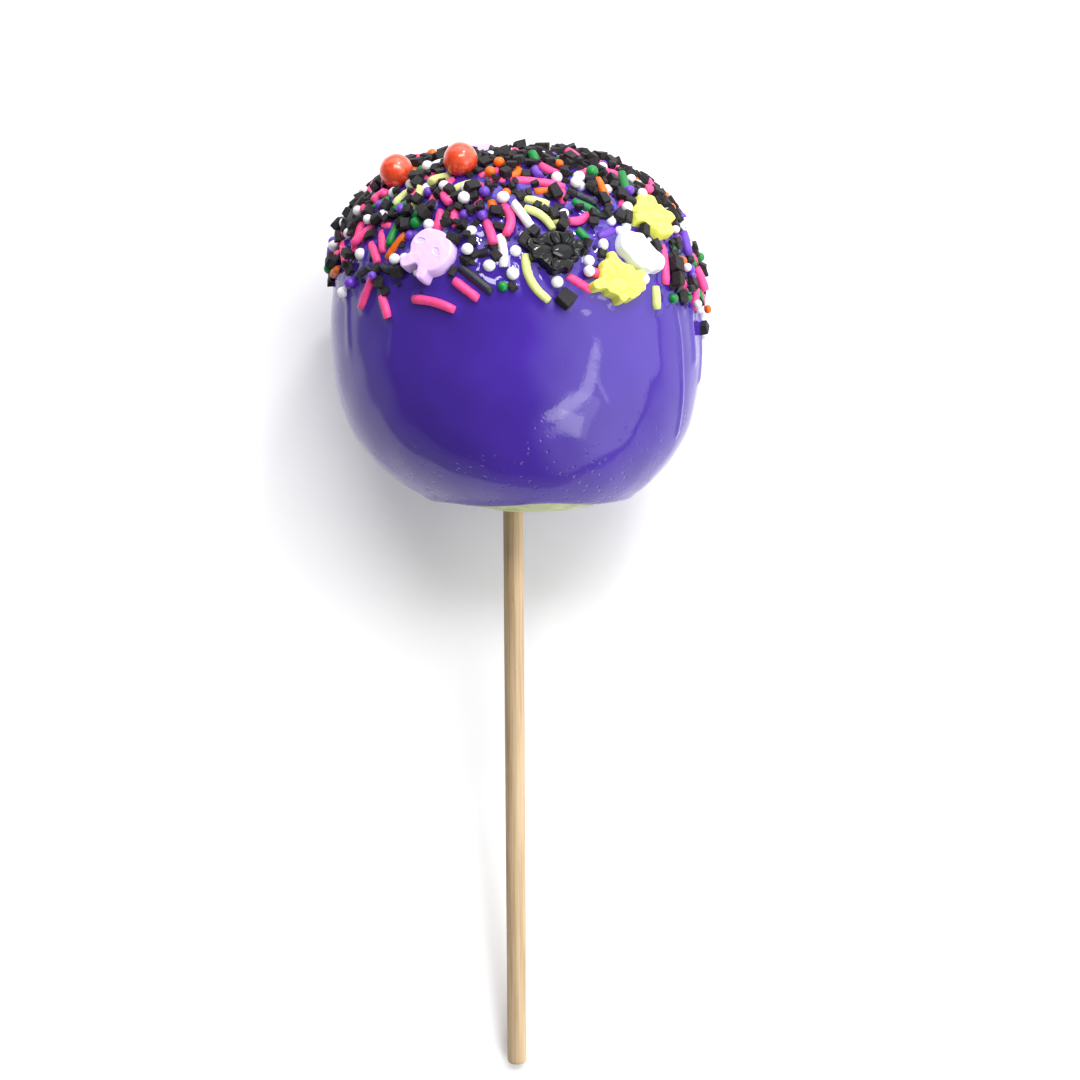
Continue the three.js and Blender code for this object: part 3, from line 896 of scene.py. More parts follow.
class Sprinkler:
    """Lays strands, balls and crumbs one by one, each at the lowest lift that is free."""

    def __init__(self):
        look = settings("sprinkles")
        self.strand_radius = look.jimmy_radius / MM
        self.ball_radius = look.ball_radius / MM
        self.rng = np.random.default_rng(look.seed)
        self.bed = Bed()
        self.found = {"strands": [], "balls": [], "crumbs": [], "dust": []}
        cover_sweets(self.bed)

    def lay(self, kind, points, radius, facts):
        """Keeps what is laid if there is room for it."""
        if not (self.bed.is_free(points, radius) and clears_floor(points, radius)):
            return False
        self.bed.add(points, radius)
        self.found[kind].append(facts)
        return True

    def strand(self, colour, place, heading, length, bend, radius):
        for pair in calmed(place, STRAND_LIFTS):
            points = strand_points(place, heading, length, bend, pair, radius)
            facts = {"colour": colour, "points": points, "radius": radius, "lift": sum(pair)}
            if self.lay("strands", points, radius, facts):
                return points
        return None

    def round_thing(self, kind, place, room, sink, lifts, **facts):
        for lift in calmed(place, lifts):
            centre = on_seat(place, 0, 0, room * (1 - 2 * sink) + lift)
            if self.lay(kind, centre[None], room, {"centre": centre, "lift": lift, **facts}):
                return centre
        return None

    def ball(self, place, radius, lifts):
        """A ball, which gets its colour afterwards."""
        return self.round_thing("balls", place, radius, BALL_SINK, lifts, radius=radius)

    def crumb(self, kind, place, size, turn, lifts):
        self.round_thing(kind, place, size * CRUMB_ROOM, CRUMB_SINK, lifts, axes=place[1],
                         size=size, turn=turn)

    def keep_clear(self, points, out):
        for rise in CLEAR_RISES:
            self.bed.add(points + rise * out, CLEAR_RADIUS)

    def lay_placed(self):
        """What is laid at the listed places. Each strand and ball draws its size, laid or not."""
        rng = self.rng
        for colour, azimuth, polar, heading, length, bend in PLACED_JIMMIES:
            place = seat(azimuth, polar)
            radius = self.strand_radius * rng.uniform(*PLACED_STRAND_SIZES)
            points = self.strand(colour, place, math.radians(heading), length, bend, radius)
            if points is not None:
                self.keep_clear(points, place[1][2])
        for colour, azimuth, polar in PLACED_BALLS:
            radius = self.ball_radius * rng.uniform(*PLACED_BALL_SIZES)
            centre = self.ball(seat(azimuth, polar), radius, PLACED_BALL_LIFTS)
            if centre is not None:
                self.found["balls"][-1]["colour"] = colour
                self.keep_clear(centre[None], unit(centre))
        for azimuth, polar, size, turn in PLACED_CRUMBS:
            place = seat(azimuth, polar)
            self.crumb("crumbs", place, size, math.radians(turn), PLACED_CRUMB_LIFTS)

    def scatter_strands(self, count):
        rng = self.rng
        for _ in range(count):
            place, _ = pick_place(rng)
            self.strand(
                pick(rng, JIMMY_MIX), place, rng.uniform(0, TAU),
                rng.triangular(*STRAND_LENGTHS), rng.normal(0, STRAND_BEND),
                self.strand_radius * rng.uniform(*STRAND_SIZES),
            )

    def scatter_balls(self, count):
        for _ in range(count):
            radius = self.ball_radius * pick(self.rng, BALL_SIZES)
            place, _ = pick_place(self.rng)
            if self.ball(place, radius, LIFTS) is not None:
                self.found["balls"][-1]["colour"] = pick(self.rng, BALL_MIX)

    def scatter_crumbs(self, count, common_size):
        rng = self.rng
        for _ in range(count):
            place, polar = pick_place(rng)
            if rng.uniform() < FEWER_CRUMBS * smooth_step(*FEWER_CRUMBS_BAND, polar):
                continue
            size = common_size * pick(rng, CRUMB_SIZES) * rng.uniform(*CRUMB_SPREAD)
            self.crumb("crumbs", place, size, rng.uniform(0, TAU), LIFTS)

    def scatter_dust(self, count):
        rng = self.rng
        for _ in range(count):
            place, _ = pick_place(rng)
            self.crumb("dust", place, rng.uniform(*DUST_SIZES), rng.uniform(0, TAU), DUST_LIFTS)


@functools.lru_cache(maxsize=None)
def sprinkles():
    """Every strand, ball and crumb, with its place in the fruit's frame."""
    look = settings("sprinkles")
    sprinkler = Sprinkler()
    sprinkler.lay_placed()
    sprinkler.scatter_strands(look.jimmies)
    sprinkler.scatter_balls(look.balls)
    sprinkler.scatter_crumbs(look.crumbs, look.crumb_size / MM)
    sprinkler.scatter_dust(look.dust)
    return sprinkler.found


# ---------------------------------------------------------------- the pieces

COAT_COLUMNS = 520
COAT_BODY_ROWS = 150
COAT_EDGE_ROWS = 12
COAT_INNER_ROWS = 8
EDGE_WIDTH = 2.6  # mm of toffee along the rim that gets the fine rows
EDGE_ROUND = 0.9
EDGE_SMOOTH = 3.0  # mm up from the rim in which the swell fades out
BEAD_PLACE = (1.3, 1.1)  # mm from the rim, and its half width
INNER_DEPTH = 0.03
CROWN_SWELL = 0.1

# Waves of the toffee: length in mm, seed, and share of the unevenness.
WAVES = ((24.0, 3, 1.0), (9.0, 4, 0.35))
# Swell where the toffee runs over the small things under it: mean, and its own waves.
DIPPED_SWELL = 0.12
DIPPED_WAVES = (3.2, 5, 0.14)
MM_PER_DEGREE = 0.62
# A run's start and end, in shares of its length, and its width where it starts and how much
# wider it gets, in shares of its half width.
RUN_START = (-0.1, 0.1)
RUN_END = (1.04, 0.94)
RUN_WIDTH = (0.8, 0.5)
# Bubbles: the patches they lie in, as length, seed and edges, and the distances from the rim,
# in mm, between which they fade near it and on the right.
BUBBLE_PATCHES = (14, 8, -0.6, 0.9)
BUBBLES_NEAR_RIM = (26, 8)
BUBBLES_ON_RIGHT = (30, 20)
BUBBLES_LEAST = 0.35  # share of the bubbles between the patches
BUBBLES_RIGHT_SHARE = 0.5
RIGHT_SIDE = (0.2, 1.0)  # sines of the azimuth

# How the toffee climbs up what is set in it, in millimetres.
COLLAR_REACH = 0.75
COLLAR_END = math.radians(100)  # polar angle
COLLAR_MAX_LIFT = {"strands": 0.5, "balls": 0.5, "crumbs": 0.4}
CRUMB_FOOT = 0.42  # share of a crumb's size
SWEET_FOOT = (48, 0.8, 0.6)  # balls round a sweet, their size and how high they sit
PEARL_FOOT = (1.2, 2.4)  # how high it sits, and its size

# Runs of toffee: azimuth where they start, sideways drift in degrees, polar angles from and
# to, height and half width in millimetres.
RUNS = (
    (56, 6, 76, 113, 0.30, 0.42), (66, 2, 74, 92, 0.35, 0.9), (79, -3, 80, 98, 0.4, 1.0),
    (-63, 2, 76, 90, 0.18, 0.8), (-38, -2, 80, 89, 0.14, 0.7), (118, 3, 70, 96, 0.35, 0.9),
    (-118, 4, 72, 98, 0.3, 1.0),
)
# Ledges: azimuth, polar angle, height in mm, and half width in mm round and along.
LEDGES = ((20, 78, 0.28, 4.2, 0.8), (-8, 78.5, 0.12, 5.0, 0.9), (-22, 81, 0.10, 4.5, 0.8))


def coat_swell(polar, azimuth, points):
    """How far the set toffee stands above its mean surface, in millimetres."""
    unevenness = settings("toffee").unevenness / MM
    swell = sum(share * unevenness * ripple(points, length, seed)
                for length, seed, share in WAVES)
    degrees, around = np.degrees(polar), np.degrees(azimuth)
    around = around - 360 * np.round(around / 360)
    edge = field_edge(azimuth)
    dipped = smooth_step(edge + 1, edge - FIELD_FADE, degrees)
    length, seed, height = DIPPED_WAVES
    swell += dipped * (DIPPED_SWELL + height * ripple(points, length, seed))
    for start, drift, top, bottom, height, width in RUNS:
        share = (degrees - top) / (bottom - top)
        down = np.clip(share, 0, 1)
        away = np.radians(around - start - drift * down) * APPLE_RADIUS
        along = smooth_step(*RUN_START, share) * smooth_step(*RUN_END, share)
        swell += height * along * bell(away, width * (RUN_WIDTH[0] + RUN_WIDTH[1] * down))
    for where, level, height, wide, tall in LEDGES:
        away = np.radians(around - where) * APPLE_RADIUS
        swell += height * bell(away, wide) * bell((degrees - level) * MM_PER_DEGREE, tall)
    return swell


def collar_feet():
    """Balls that stand for all that is set in the toffee, as centres and radii."""
    placed = sprinkles()
    low = {kind: [thing for thing in placed[kind] if thing["lift"] < most]
           for kind, most in COLLAR_MAX_LIFT.items()}
    feet = [(point, strand["radius"]) for strand in low["strands"]
            for point in strand["points"]]
    feet += [(ball["centre"], ball["radius"]) for ball in low["balls"]]
    feet += [(crumb["centre"], crumb["size"] * CRUMB_FOOT) for crumb in low["crumbs"]]
    columns, radius, height = SWEET_FOOT
    angles = round_angles(columns)
    for sweet in SWEETS:
        x, y = on_circle(outline_radius(sweet.outline, angles) - radius, angles)
        z = seat_level(sweet, x, y) + height
        feet += [(point, radius) for point in on_seat(sweet_seat(sweet), x, y, z)]
    height, radius = PEARL_FOOT
    feet += [(on_seat(seat(azimuth, polar), 0, 0, height), radius)
             for _, azimuth, polar in PEARLS]
    return feet


def collar_height(points):
    """How far the toffee is drawn up round everything that is set in it, from 0 to 1."""
    feet = collar_feet()
    tree = KDTree(len(feet))
    for index, (centre, _) in enumerate(feet):
        tree.insert(centre, index)
    tree.balance()
    beyond = np.zeros(len(points))
    for index, point in enumerate(points):
        _, which, away = tree.find(point)
        beyond[index] = max(away - feet[which][1], 0.0)
    return bell(beyond, COLLAR_REACH)


def bubble_share(to_rim, azimuth, points):
    """How bubbly the toffee is: most near its rim, and a little up its right side."""
    length, seed, low, high = BUBBLE_PATCHES
    patches = smooth_step(low, high, ripple(points, length, seed)).reshape(to_rim.shape)
    patches = BUBBLES_LEAST + (1 - BUBBLES_LEAST) * patches
    right = BUBBLES_RIGHT_SHARE * smooth_step(*RIGHT_SIDE, np.sin(azimuth))
    return np.maximum(smooth_step(*BUBBLES_NEAR_RIM, to_rim) * patches,
                      smooth_step(*BUBBLES_ON_RIGHT, to_rim) * right)


def coat_rows(rim):
    """The outer skin's rows, as shares of the way from the crown to the rim."""
    edge_share = EDGE_WIDTH / (rim * APPLE_RADIUS)
    body = np.arange(1, COAT_BODY_ROWS + 1)[:, None] / COAT_BODY_ROWS
    edge = np.sin(0.5 * math.pi * np.arange(1, COAT_EDGE_ROWS + 1) / COAT_EDGE_ROWS)
    return np.concatenate([body * (1 - edge_share), 1 - edge_share * (1 - edge[:, None])])


class TOFFEEAPPLE_OT_toffee(bpy.types.Operator):
    """Makes the shell of set toffee"""

    bl_idname = "toffee_apple.toffee"
    bl_label = "Toffee"
    bl_options = {"REGISTER", "UNDO"}

    def execute(self, context):
        look = settings("toffee")
        azimuth = round_angles(COAT_COLUMNS)
        rim = rim_polar(azimuth)
        down = coat_rows(rim)
        polar = down * rim
        around = np.broadcast_to(azimuth, polar.shape)
        to_rim = (1 - down) * rim * APPLE_RADIUS
        mean = coat_point(polar, around).reshape(-1, 3)
        swell = coat_swell(polar.ravel(), around.ravel(), mean)
        upper = polar.ravel() < COLLAR_END
        swell[upper] += look.collar / MM * collar_height(mean[upper])
        swell = swell.reshape(polar.shape) * smooth_step(0, EDGE_SMOOTH, to_rim)
        place, width = BEAD_PLACE
        swell += look.bead / MM * bell(to_rim - place, width)
        rounding = np.sqrt(1 - np.square(1 - np.clip(to_rim / EDGE_ROUND, 0, 1)))
        depth = INNER_DEPTH + (coat_depth(polar) + swell - INNER_DEPTH) * rounding
        outer = skin_point(polar, around, depth)
        inner_down = np.linspace(1, 0, COAT_INNER_ROWS + 1)[1:-1, None]
        inner = skin_point(inner_down * rim, around[:len(inner_down)], INNER_DEPTH)
        crown = skin_point(0.0, 0.0, float(coat_depth(0.0)) + CROWN_SWELL)
        points = joined_points(crown, np.concatenate([outer, inner]),
                               skin_point(0.0, 0.0, INNER_DEPTH))
        faces = ring_faces(len(outer) + len(inner) + 1, COAT_COLUMNS)
        bubbles = np.zeros(len(points))
        bubbles[1:1 + len(mean)] = bubble_share(to_rim, around, mean).ravel()
        piece = add_object("toffee_shell", laid_on_floor(points), faces, toffee_finish(),
                           bubbles=bubbles)
        settle(piece, "toffee", "coat")
        return {"FINISHED"}


APPLE_COLUMNS = 180
APPLE_ROWS = 120
APPLE_WAVES = ((9.0, 21, 0.10), (2.6, 22, 0.03))  # length, seed and height
APPLE_UNDER_TOFFEE = -0.4  # how deep the skin lies where the toffee covers it
BARE_EDGE = (30, 22)  # distances from the stick between which the skin comes up
STICK_LIP = (2.5, 0.7, 0.35)  # skin raised round the stick: distance, half width, height
BROWN_RINGS = ((4.0, 0.85), (9.0, 0.25))  # half width and strength of the hollow's brown


class TOFFEEAPPLE_OT_fruit(bpy.types.Operator):
    """Makes the apple in the toffee"""

    bl_idname = "toffee_apple.fruit"
    bl_label = "Apple"
    bl_options = {"REGISTER", "UNDO"}

    def execute(self, context):
        polar, azimuth = ring_angles(APPLE_ROWS, APPLE_COLUMNS)
        flat = skin_point(polar, azimuth, 0.0).reshape(-1, 3)
        near_stick = np.hypot(flat[:, 0] - STICK_SHIFT, flat[:, 2])
        base = flat[:, 1] < 0
        away, width, height = STICK_LIP
        bare = -APPLE_UNDER_TOFFEE * smooth_step(*BARE_EDGE, near_stick)
        relief = APPLE_UNDER_TOFFEE + base * (bare + height * bell(near_stick - away, width))
        for length, seed, height in APPLE_WAVES:
            relief += height * ripple(flat, length, seed)
        rings = skin_point(polar, azimuth, relief.reshape(polar.shape))
        points = joined_points(skin_point(0.0, 0.0, APPLE_UNDER_TOFFEE), rings,
                               skin_point(math.pi, 0.0, 0.0))
        brown = base * sum(share * bell(near_stick, width) for width, share in BROWN_RINGS)
        hollow = np.concatenate([[0], np.clip(brown, 0, 1), [1]])
        piece = add_object("apple_flesh", laid(points), ring_faces(APPLE_ROWS, APPLE_COLUMNS),
                           skin_finish(), hollow=hollow)
        settle(piece, "apple_skin", "apple")
        return {"FINISHED"}


STICK_COLUMNS = 48
STICK_ROWS = 220
STICK_CROWDING = 0.45  # how much the rows crowd towards both ends, where the edge is rounded
STICK_GRAIN = ((5, 1.0, 0.018), (11, 0.0, 0.012))  # ridges round it, phase and height
STICK_WAVES = ((19.0, 0.0, 0.003), (7.7, 2.0, 0.002))  # length, phase and share of the radius
STICK_MOST = 0.02  # how far its ridges may stand out


class TOFFEEAPPLE_OT_stick(bpy.types.Operator):
    """Makes the round wooden stick"""

    bl_idname = "toffee_apple.stick"
    bl_label = "Stick"
    bl_options = {"REGISTER", "UNDO"}

    def execute(self, context):
        length = STICK_INNER_END - STICK_TIP
        share = np.arange(1, STICK_ROWS) / STICK_ROWS
        share = 0.5 - 0.5 * np.sign(0.5 - share) * np.abs(2 * share - 1) ** STICK_CROWDING
        from_end = length * np.minimum(share, 1 - share)
        round_share = np.clip(from_end / STICK_ROUNDING, 0, 1)
        radius = STICK_RADIUS - STICK_ROUNDING * (1 - np.sqrt(1 - np.square(1 - round_share)))
        y = STICK_INNER_END - length * share
        azimuth = round_angles(STICK_COLUMNS)
        grain = sum(height * np.sin(count * azimuth + phase)
                    for count, phase, height in STICK_GRAIN)
        slow = 1 + sum(height * np.sin(y / length + phase)
                       for length, phase, height in STICK_WAVES)
        spread = (radius * slow)[:, None] + grain * (radius / STICK_RADIUS)[:, None]
        spread = np.minimum(spread, STICK_RADIUS + STICK_MOST)
        z, x = on_circle(spread, azimuth)
        rings = np.stack(np.broadcast_arrays(x, y[:, None], z), axis=-1)
        points = joined_points((0, STICK_INNER_END, 0), rings, (0, STICK_TIP, 0))
        points[:, 0], points[:, 1] = turned(points[:, 0], points[:, 1], STICK_LEAN)
        piece = add_object("wooden_stick", laid_on_floor(points + (STICK_SHIFT, 0, 0)),
                           ring_faces(STICK_ROWS, STICK_COLUMNS), wood_finish())
        settle(piece, "stick_wood", "stick")
        return {"FINISHED"}


SWEET_COLUMNS = 192
SWEET_TOP_ROWS = 44
SWEET_EDGE_ROWS = 8
SWEET_WALL_ROWS = 6
SWEET_EDGE = 0.42
SWEET_WALL_BULGE = 0.10
SWEET_SUNK = 0.3  # how deep its back lies in the toffee
SWEET_WALL_LEAST = 0.9
SWEET_BACK_SHARE = 0.6
SWEET_GRAIN = (1.5, 0.02)  # length and height

SPIDER_FACE = 0.4  # how far the flat face lies under the spider's height
SPIDER_BODY = (2.05, 1.45)
SPIDER_HEAD = (-2.0, -3.5)  # place from the middle of the body
SPIDER_LEGS = (18, 52, 84, 118, 152, 196, 228, 318, 346)  # directions, in degrees
LEG_WIDTH = 0.24
LEG_HEIGHT = 0.27
LEG_START = (0.92, 1.15)  # in sizes of the body
LEG_GROOVE = (0.08, 0.55, 0.22)  # depth, place and half width, as is the body's
BODY_GROOVE = (0.2, 1.08, 0.08)
BODY_DOME = 0.3
HEAD_DOME = (0.35, 1.0)  # height and half width, as is the eye's
HEAD_EYE = (-0.6, 0.34)
EYE_DENT = (0.13, 1.1, 0.75)  # a ghost's eye: depth, and where its edge starts and ends
EYE_BRIM = (0.04, 1.2, 0.12)


def ring_relief(away, height, place, width):
    """A rounded ridge at a distance from a line or a place."""
    return height * bell(away - place, width)


def spider_relief(body, x, y):
    """The pressed picture of a spider: legs, a domed body, and a head at the edge."""
    across, along = x - body[0], y - body[1]
    angle, out = np.arctan2(along, across), np.hypot(across, along)
    dome = np.hypot(across / SPIDER_BODY[0], along / SPIDER_BODY[1])
    shown = smooth_step(*LEG_START, dome)
    relief = np.zeros_like(x)
    for degrees in SPIDER_LEGS:
        off = angle - math.radians(degrees) - 0.10 * np.sin(out * 1.3 + degrees)
        away = np.abs(np.arctan2(np.sin(off), np.cos(off))) * out
        leg = LEG_HEIGHT * bell(away, LEG_WIDTH)
        relief += shown * (leg - ring_relief(away, *LEG_GROOVE))
    relief = np.minimum(relief, LEG_HEIGHT) + BODY_DOME * np.sqrt(np.clip(1 - dome**2, 0, 1))
    relief -= ring_relief(dome, *BODY_GROOVE)
    head = np.hypot(across - SPIDER_HEAD[0], along - SPIDER_HEAD[1])
    return relief + sum(height * bell(head, width) for height, width in (HEAD_DOME, HEAD_EYE))


def sweet_relief(sweet, x, y, out):
    """Height of the pressed face above the seat, in millimetres."""
    if sweet.body:
        relief = spider_relief(sweet.body, x, y) * smooth_step(1.05, 0.8, out)
        return sweet.height - SPIDER_FACE + relief
    top = sweet.height - 0.12 * out**4
    for eye_x, eye_y, long, wide, turn in (GHOST_EYES if sweet.has_eyes else ()):
        along, across = turned(x - eye_x, y - eye_y, -math.radians(turn))
        inside = np.hypot(along / long, across / (wide * (1.15 - 0.35 * along / long)))
        depth, start, end = EYE_DENT
        top = top - depth * smooth_step(start, end, inside) + ring_relief(inside, *EYE_BRIM)
    return top


def sweet_points(sweet):
    """Rings of a pressed sweet in its own frame, from its face to its back."""
    angle = round_angles(SWEET_COLUMNS)
    edge = outline_radius(sweet.outline, angle)
    level = seat_level(sweet, *on_circle(edge, angle)) - SWEET_SUNK
    rows = []
    for share in np.arange(1, SWEET_TOP_ROWS + 1) / SWEET_TOP_ROWS:
        reach = (edge - SWEET_EDGE) * share
        face = sweet_relief(sweet, *on_circle(reach, angle), share)
        rows.append((reach, np.maximum(face, level + SWEET_WALL_LEAST)))
    rim = rows[-1][1]
    for bend in 0.5 * math.pi * np.arange(1, SWEET_EDGE_ROWS + 1) / SWEET_EDGE_ROWS:
        rows.append((edge - SWEET_EDGE * (1 - math.sin(bend)),
                     rim - SWEET_EDGE * (1 - math.cos(bend))))
    wall = rows[-1][1]
    for share in np.arange(1, SWEET_WALL_ROWS + 1) / SWEET_WALL_ROWS:
        rows.append((edge + SWEET_WALL_BULGE * math.sin(math.pi * share),
                     wall + (level - wall) * share))
    back = edge * SWEET_BACK_SHARE
    rows.append((back, seat_level(sweet, *on_circle(back, angle)) - SWEET_SUNK))
    reaches, heights = np.array(rows).swapaxes(0, 1)
    return np.stack([*on_circle(reaches, angle), heights], axis=-1)


# roughness, grain, softness and specks of each colour of pressed sugar
SWEET_FINISHES = {
    "lilac": (0.42, 0.3, 0.25, 0.05),
    "white": (0.4, 0.25, 0.25, 0.03),
    "yellow": (0.42, 0.35, 0.2, 0.08),
    "black": (0.35, 0.6, 0.0, 0.2),
}


class TOFFEEAPPLE_OT_sweets(bpy.types.Operator):
    """Makes the pressed sweets: ghosts, white sweets and spiders"""

    bl_idname = "toffee_apple.sweets"
    bl_label = "Pressed Sweets"
    bl_options = {"REGISTER", "UNDO"}

    def execute(self, context):
        look = settings("sweets")
        finishes = {colour: sugar_finish(colour + "_sugar", getattr(look, colour), *values)
                    for colour, values in SWEET_FINISHES.items()}
        for socket, value in (("Specular IOR Level", 0.1), ("Coat Weight", 0.35),
                              ("Coat Roughness", 0.04)):
            finishes["black"].set(socket, value)
        length, height = SWEET_GRAIN
        middle = np.zeros(1)
        for sweet in SWEETS:
            rings = sweet_points(sweet)
            grain = height * ripple(rings.reshape(-1, 3), length, len(sweet.name))
            rings[..., 2] += grain.reshape(rings.shape[:2])
            face = sweet_relief(sweet, middle, middle, middle)[0]
            points = joined_points((0, 0, face), rings, (0, 0, -SWEET_SUNK))
            piece = add_object(sweet.name + "_sweet", laid(on_seat(sweet_seat(sweet), *points.T)),
                               ring_faces(len(rings) + 1, SWEET_COLUMNS),
                               finishes[sweet.colour].material)
            settle(piece, sweet.colour + "_sugar", sweet.name)
        return {"FINISHED"}


PEARL_SUNK = 0.25
PEARL_ROWS = 40
PEARL_COLUMNS = 64
PEARL_GRAIN = (3.4, 3.0, 0.03)  # radius of the ball that it is taken from, length and height
PEARL_SEED = 200


class TOFFEEAPPLE_OT_pearls(bpy.types.Operator):
    """Makes the sugar pearls"""

    bl_idname = "toffee_apple.pearls"
    bl_label = "Pearls"
    bl_options = {"REGISTER", "UNDO"}

    def execute(self, context):
        ball, faces = ball_mesh(PEARL_ROWS, PEARL_COLUMNS)
        radius, length, height = PEARL_GRAIN
        for name, azimuth, polar in PEARLS:
            grain = height * ripple(ball * radius, length, azimuth + PEARL_SEED)
            x, y, z = (ball * (PEARL_RADIUS + grain)[:, None]).T
            points = on_seat(seat(azimuth, polar), x, y, z + PEARL_RADIUS - PEARL_SUNK)
            piece = add_object(name + "_ball", laid(points), faces, pearl_finish())
            settle(piece, "orange_pearl", name)
        return {"FINISHED"}


JIMMY_COLUMNS = 14
JIMMY_ROWS = 13
JIMMY_END = 0.8  # in strand radii, as are the next two
JIMMY_BLUNT = 0.14
JIMMY_SLANT = 0.25
JIMMY_WOBBLE = (0.022, 0.012)  # of each ring, and of each point in it
JIMMY_NARROW = 0.86  # the last ring's share of the radius
CAP_WIDTH = 0.62  # share of the last ring
CAP_DEPTH = 0.85  # share of the blunt end
BALL_ROWS = 10
BALL_COLUMNS = 18
BALL_SQUASH = 0.035
# roughness, grain, softness and specks
STRAND_LOOK = (0.46, 0.7, 0.12, 0.16)
BALL_LOOK = (0.34, 0.3, 0.2, 0.06)

# colour of the strands and balls, and a slot name, which is not used
SUGAR_COLOURS = {
    "pink": (srgb(246, 74, 142), "lilac_sugar"),
    "green": (srgb(8, 128, 54), "orange_pearl"),
    "orange": (srgb(230, 104, 6), "orange_pearl"),
    "white": (srgb(232, 230, 235), "white_sugar"),
    "lime": (srgb(212, 219, 138), "yellow_sugar"),
    "violet": (srgb(104, 58, 182), "toffee"),
    "navy": (srgb(36, 38, 54), "black_sugar"),
}


def strand_mesh(strand, rng):
    """A strand of sugar with blunt ends along its line of points."""
    line, radius = strand["points"], strand["radius"]
    along = np.linspace(0, len(line) - 1, JIMMY_ROWS)
    steps = np.arange(len(line))
    path = np.stack([np.interp(along, steps, line[:, axis]) for axis in range(3)], axis=1)
    forward = unit(np.gradient(path, axis=0))
    ends = ((0, -1), (-1, 1))
    for end, sign in ends:
        path[end] += sign * forward[end] * radius * JIMMY_END
    side = unit(np.cross(forward, unit(rng.normal(size=3))))
    other = np.cross(forward, side)
    cos, sin = on_circle(1, round_angles(JIMMY_COLUMNS)[:, None])
    wobble = radius * (1 + rng.normal(0, JIMMY_WOBBLE[0], (JIMMY_ROWS, 1))
                       + rng.normal(0, JIMMY_WOBBLE[1], (JIMMY_ROWS, JIMMY_COLUMNS)))
    wobble[[0, -1]] *= JIMMY_NARROW
    slant = rng.uniform(-JIMMY_SLANT, JIMMY_SLANT, 2) * radius
    rings = path[:, None] + wobble[..., None] * (cos * side[:, None] + sin * other[:, None])
    caps, tips = [], []
    for end, sign in ends:
        rings[end] += forward[end] * slant[end] * cos
        blunt = sign * forward[end] * radius * JIMMY_BLUNT
        caps.append(path[end] + CAP_WIDTH * (rings[end] - path[end]) + CAP_DEPTH * blunt)
        tips.append(path[end] + blunt)
    rings = np.concatenate([caps[:1], rings, caps[1:]])
    return joined_points(tips[0], rings, tips[1]), ring_faces(JIMMY_ROWS + 3, JIMMY_COLUMNS)


def add_by_colour(kind, name, seed, make_mesh, look):
    """The strands or the balls, one mesh for each colour."""
    rng = np.random.default_rng(settings("sprinkles").seed + seed)
    for colour, (tint, slot) in SUGAR_COLOURS.items():
        batch = Batch()
        for thing in sprinkles()[kind]:
            if thing["colour"] == colour:
                batch.add(*make_mesh(thing, rng), rng.uniform())
        if batch.size:
            finish = sugar_finish(f"{colour}_{name}_sugar", tint, *look)
            settle(batch.finish(f"{colour}_{name}s", finish.material), slot)


class TOFFEEAPPLE_OT_jimmies(bpy.types.Operator):
    """Makes the sugar strands, one mesh for each colour"""

    bl_idname = "toffee_apple.jimmies"
    bl_label = "Sugar Strands"
    bl_options = {"REGISTER", "UNDO"}

    def execute(self, context):
        add_by_colour("strands", "strand", 1, strand_mesh, STRAND_LOOK)
        return {"FINISHED"}


class TOFFEEAPPLE_OT_balls(bpy.types.Operator):
    """Makes the small sugar balls, one mesh for each colour"""

    bl_idname = "toffee_apple.balls"
    bl_label = "Sugar Balls"
    bl_options = {"REGISTER", "UNDO"}

    def execute(self, context):
        round_ball, faces = ball_mesh(BALL_ROWS, BALL_COLUMNS)

        def squashed(ball, rng):
            squash = 1 + rng.normal(0, BALL_SQUASH, 3)
            return ball["centre"] + round_ball * squash * ball["radius"], faces

        add_by_colour("balls", "ball", 2, squashed, BALL_LOOK)
        return {"FINISHED"}


# A chunk of biscuit, in halves of its length: its width, height and how far its corners and
# its few bumps lie from its middle.
CHUNK_WIDTH = (0.6, 0.95)
CHUNK_HEIGHT = (0.5, 0.8)
CHUNK_CORNER = (0.72, 1.08)
CHUNK_BUMP = (0.95, 1.2)
CHUNK_BUMPS = (2, 6)
CHUNK_FLAT = 0.16  # radians within which two faces become one
CHUNK_TILT = 0.35
CHUNK_BEVEL = {"crumbs": 0.11, "dust": 0.16}


def chunk_mesh(rng, bevel):
    """A broken block about 2 across, with flat sides and worn edges."""
    block = bmesh.new()
    half = np.array([1.0, rng.uniform(*CHUNK_WIDTH), rng.uniform(*CHUNK_HEIGHT)])
    for corner in np.ndindex(2, 2, 2):
        block.verts.new((np.array(corner) * 2 - 1) * half * rng.uniform(*CHUNK_CORNER, 3))
    for _ in range(rng.integers(*CHUNK_BUMPS)):
        block.verts.new(unit(rng.normal(size=3)) * half * rng.uniform(*CHUNK_BUMP))
    hull = bmesh.ops.convex_hull(block, input=block.verts)
    loose = [item for item in hull["geom_interior"] if isinstance(item, bmesh.types.BMVert)]
    bmesh.ops.delete(block, geom=loose, context="VERTS")
    bmesh.ops.dissolve_limit(block, angle_limit=CHUNK_FLAT, verts=block.verts, edges=block.edges)
    bmesh.ops.bevel(block, geom=block.edges[:], offset=bevel, segments=2, profile=0.6,
                    affect="EDGES", clamp_overlap=True)
    block.verts.index_update()
    points = np.array([vertex.co for vertex in block.verts])
    faces = [[vertex.index for vertex in face.verts] for face in block.faces]
    block.free()
    return points, faces


def tipped(rng):
    """A small random tilt out of the level."""
    axis = Vector((rng.normal(), rng.normal(), 0.001)).normalized()
    return np.array(Matrix.Rotation(rng.normal(0, CHUNK_TILT), 3, axis))


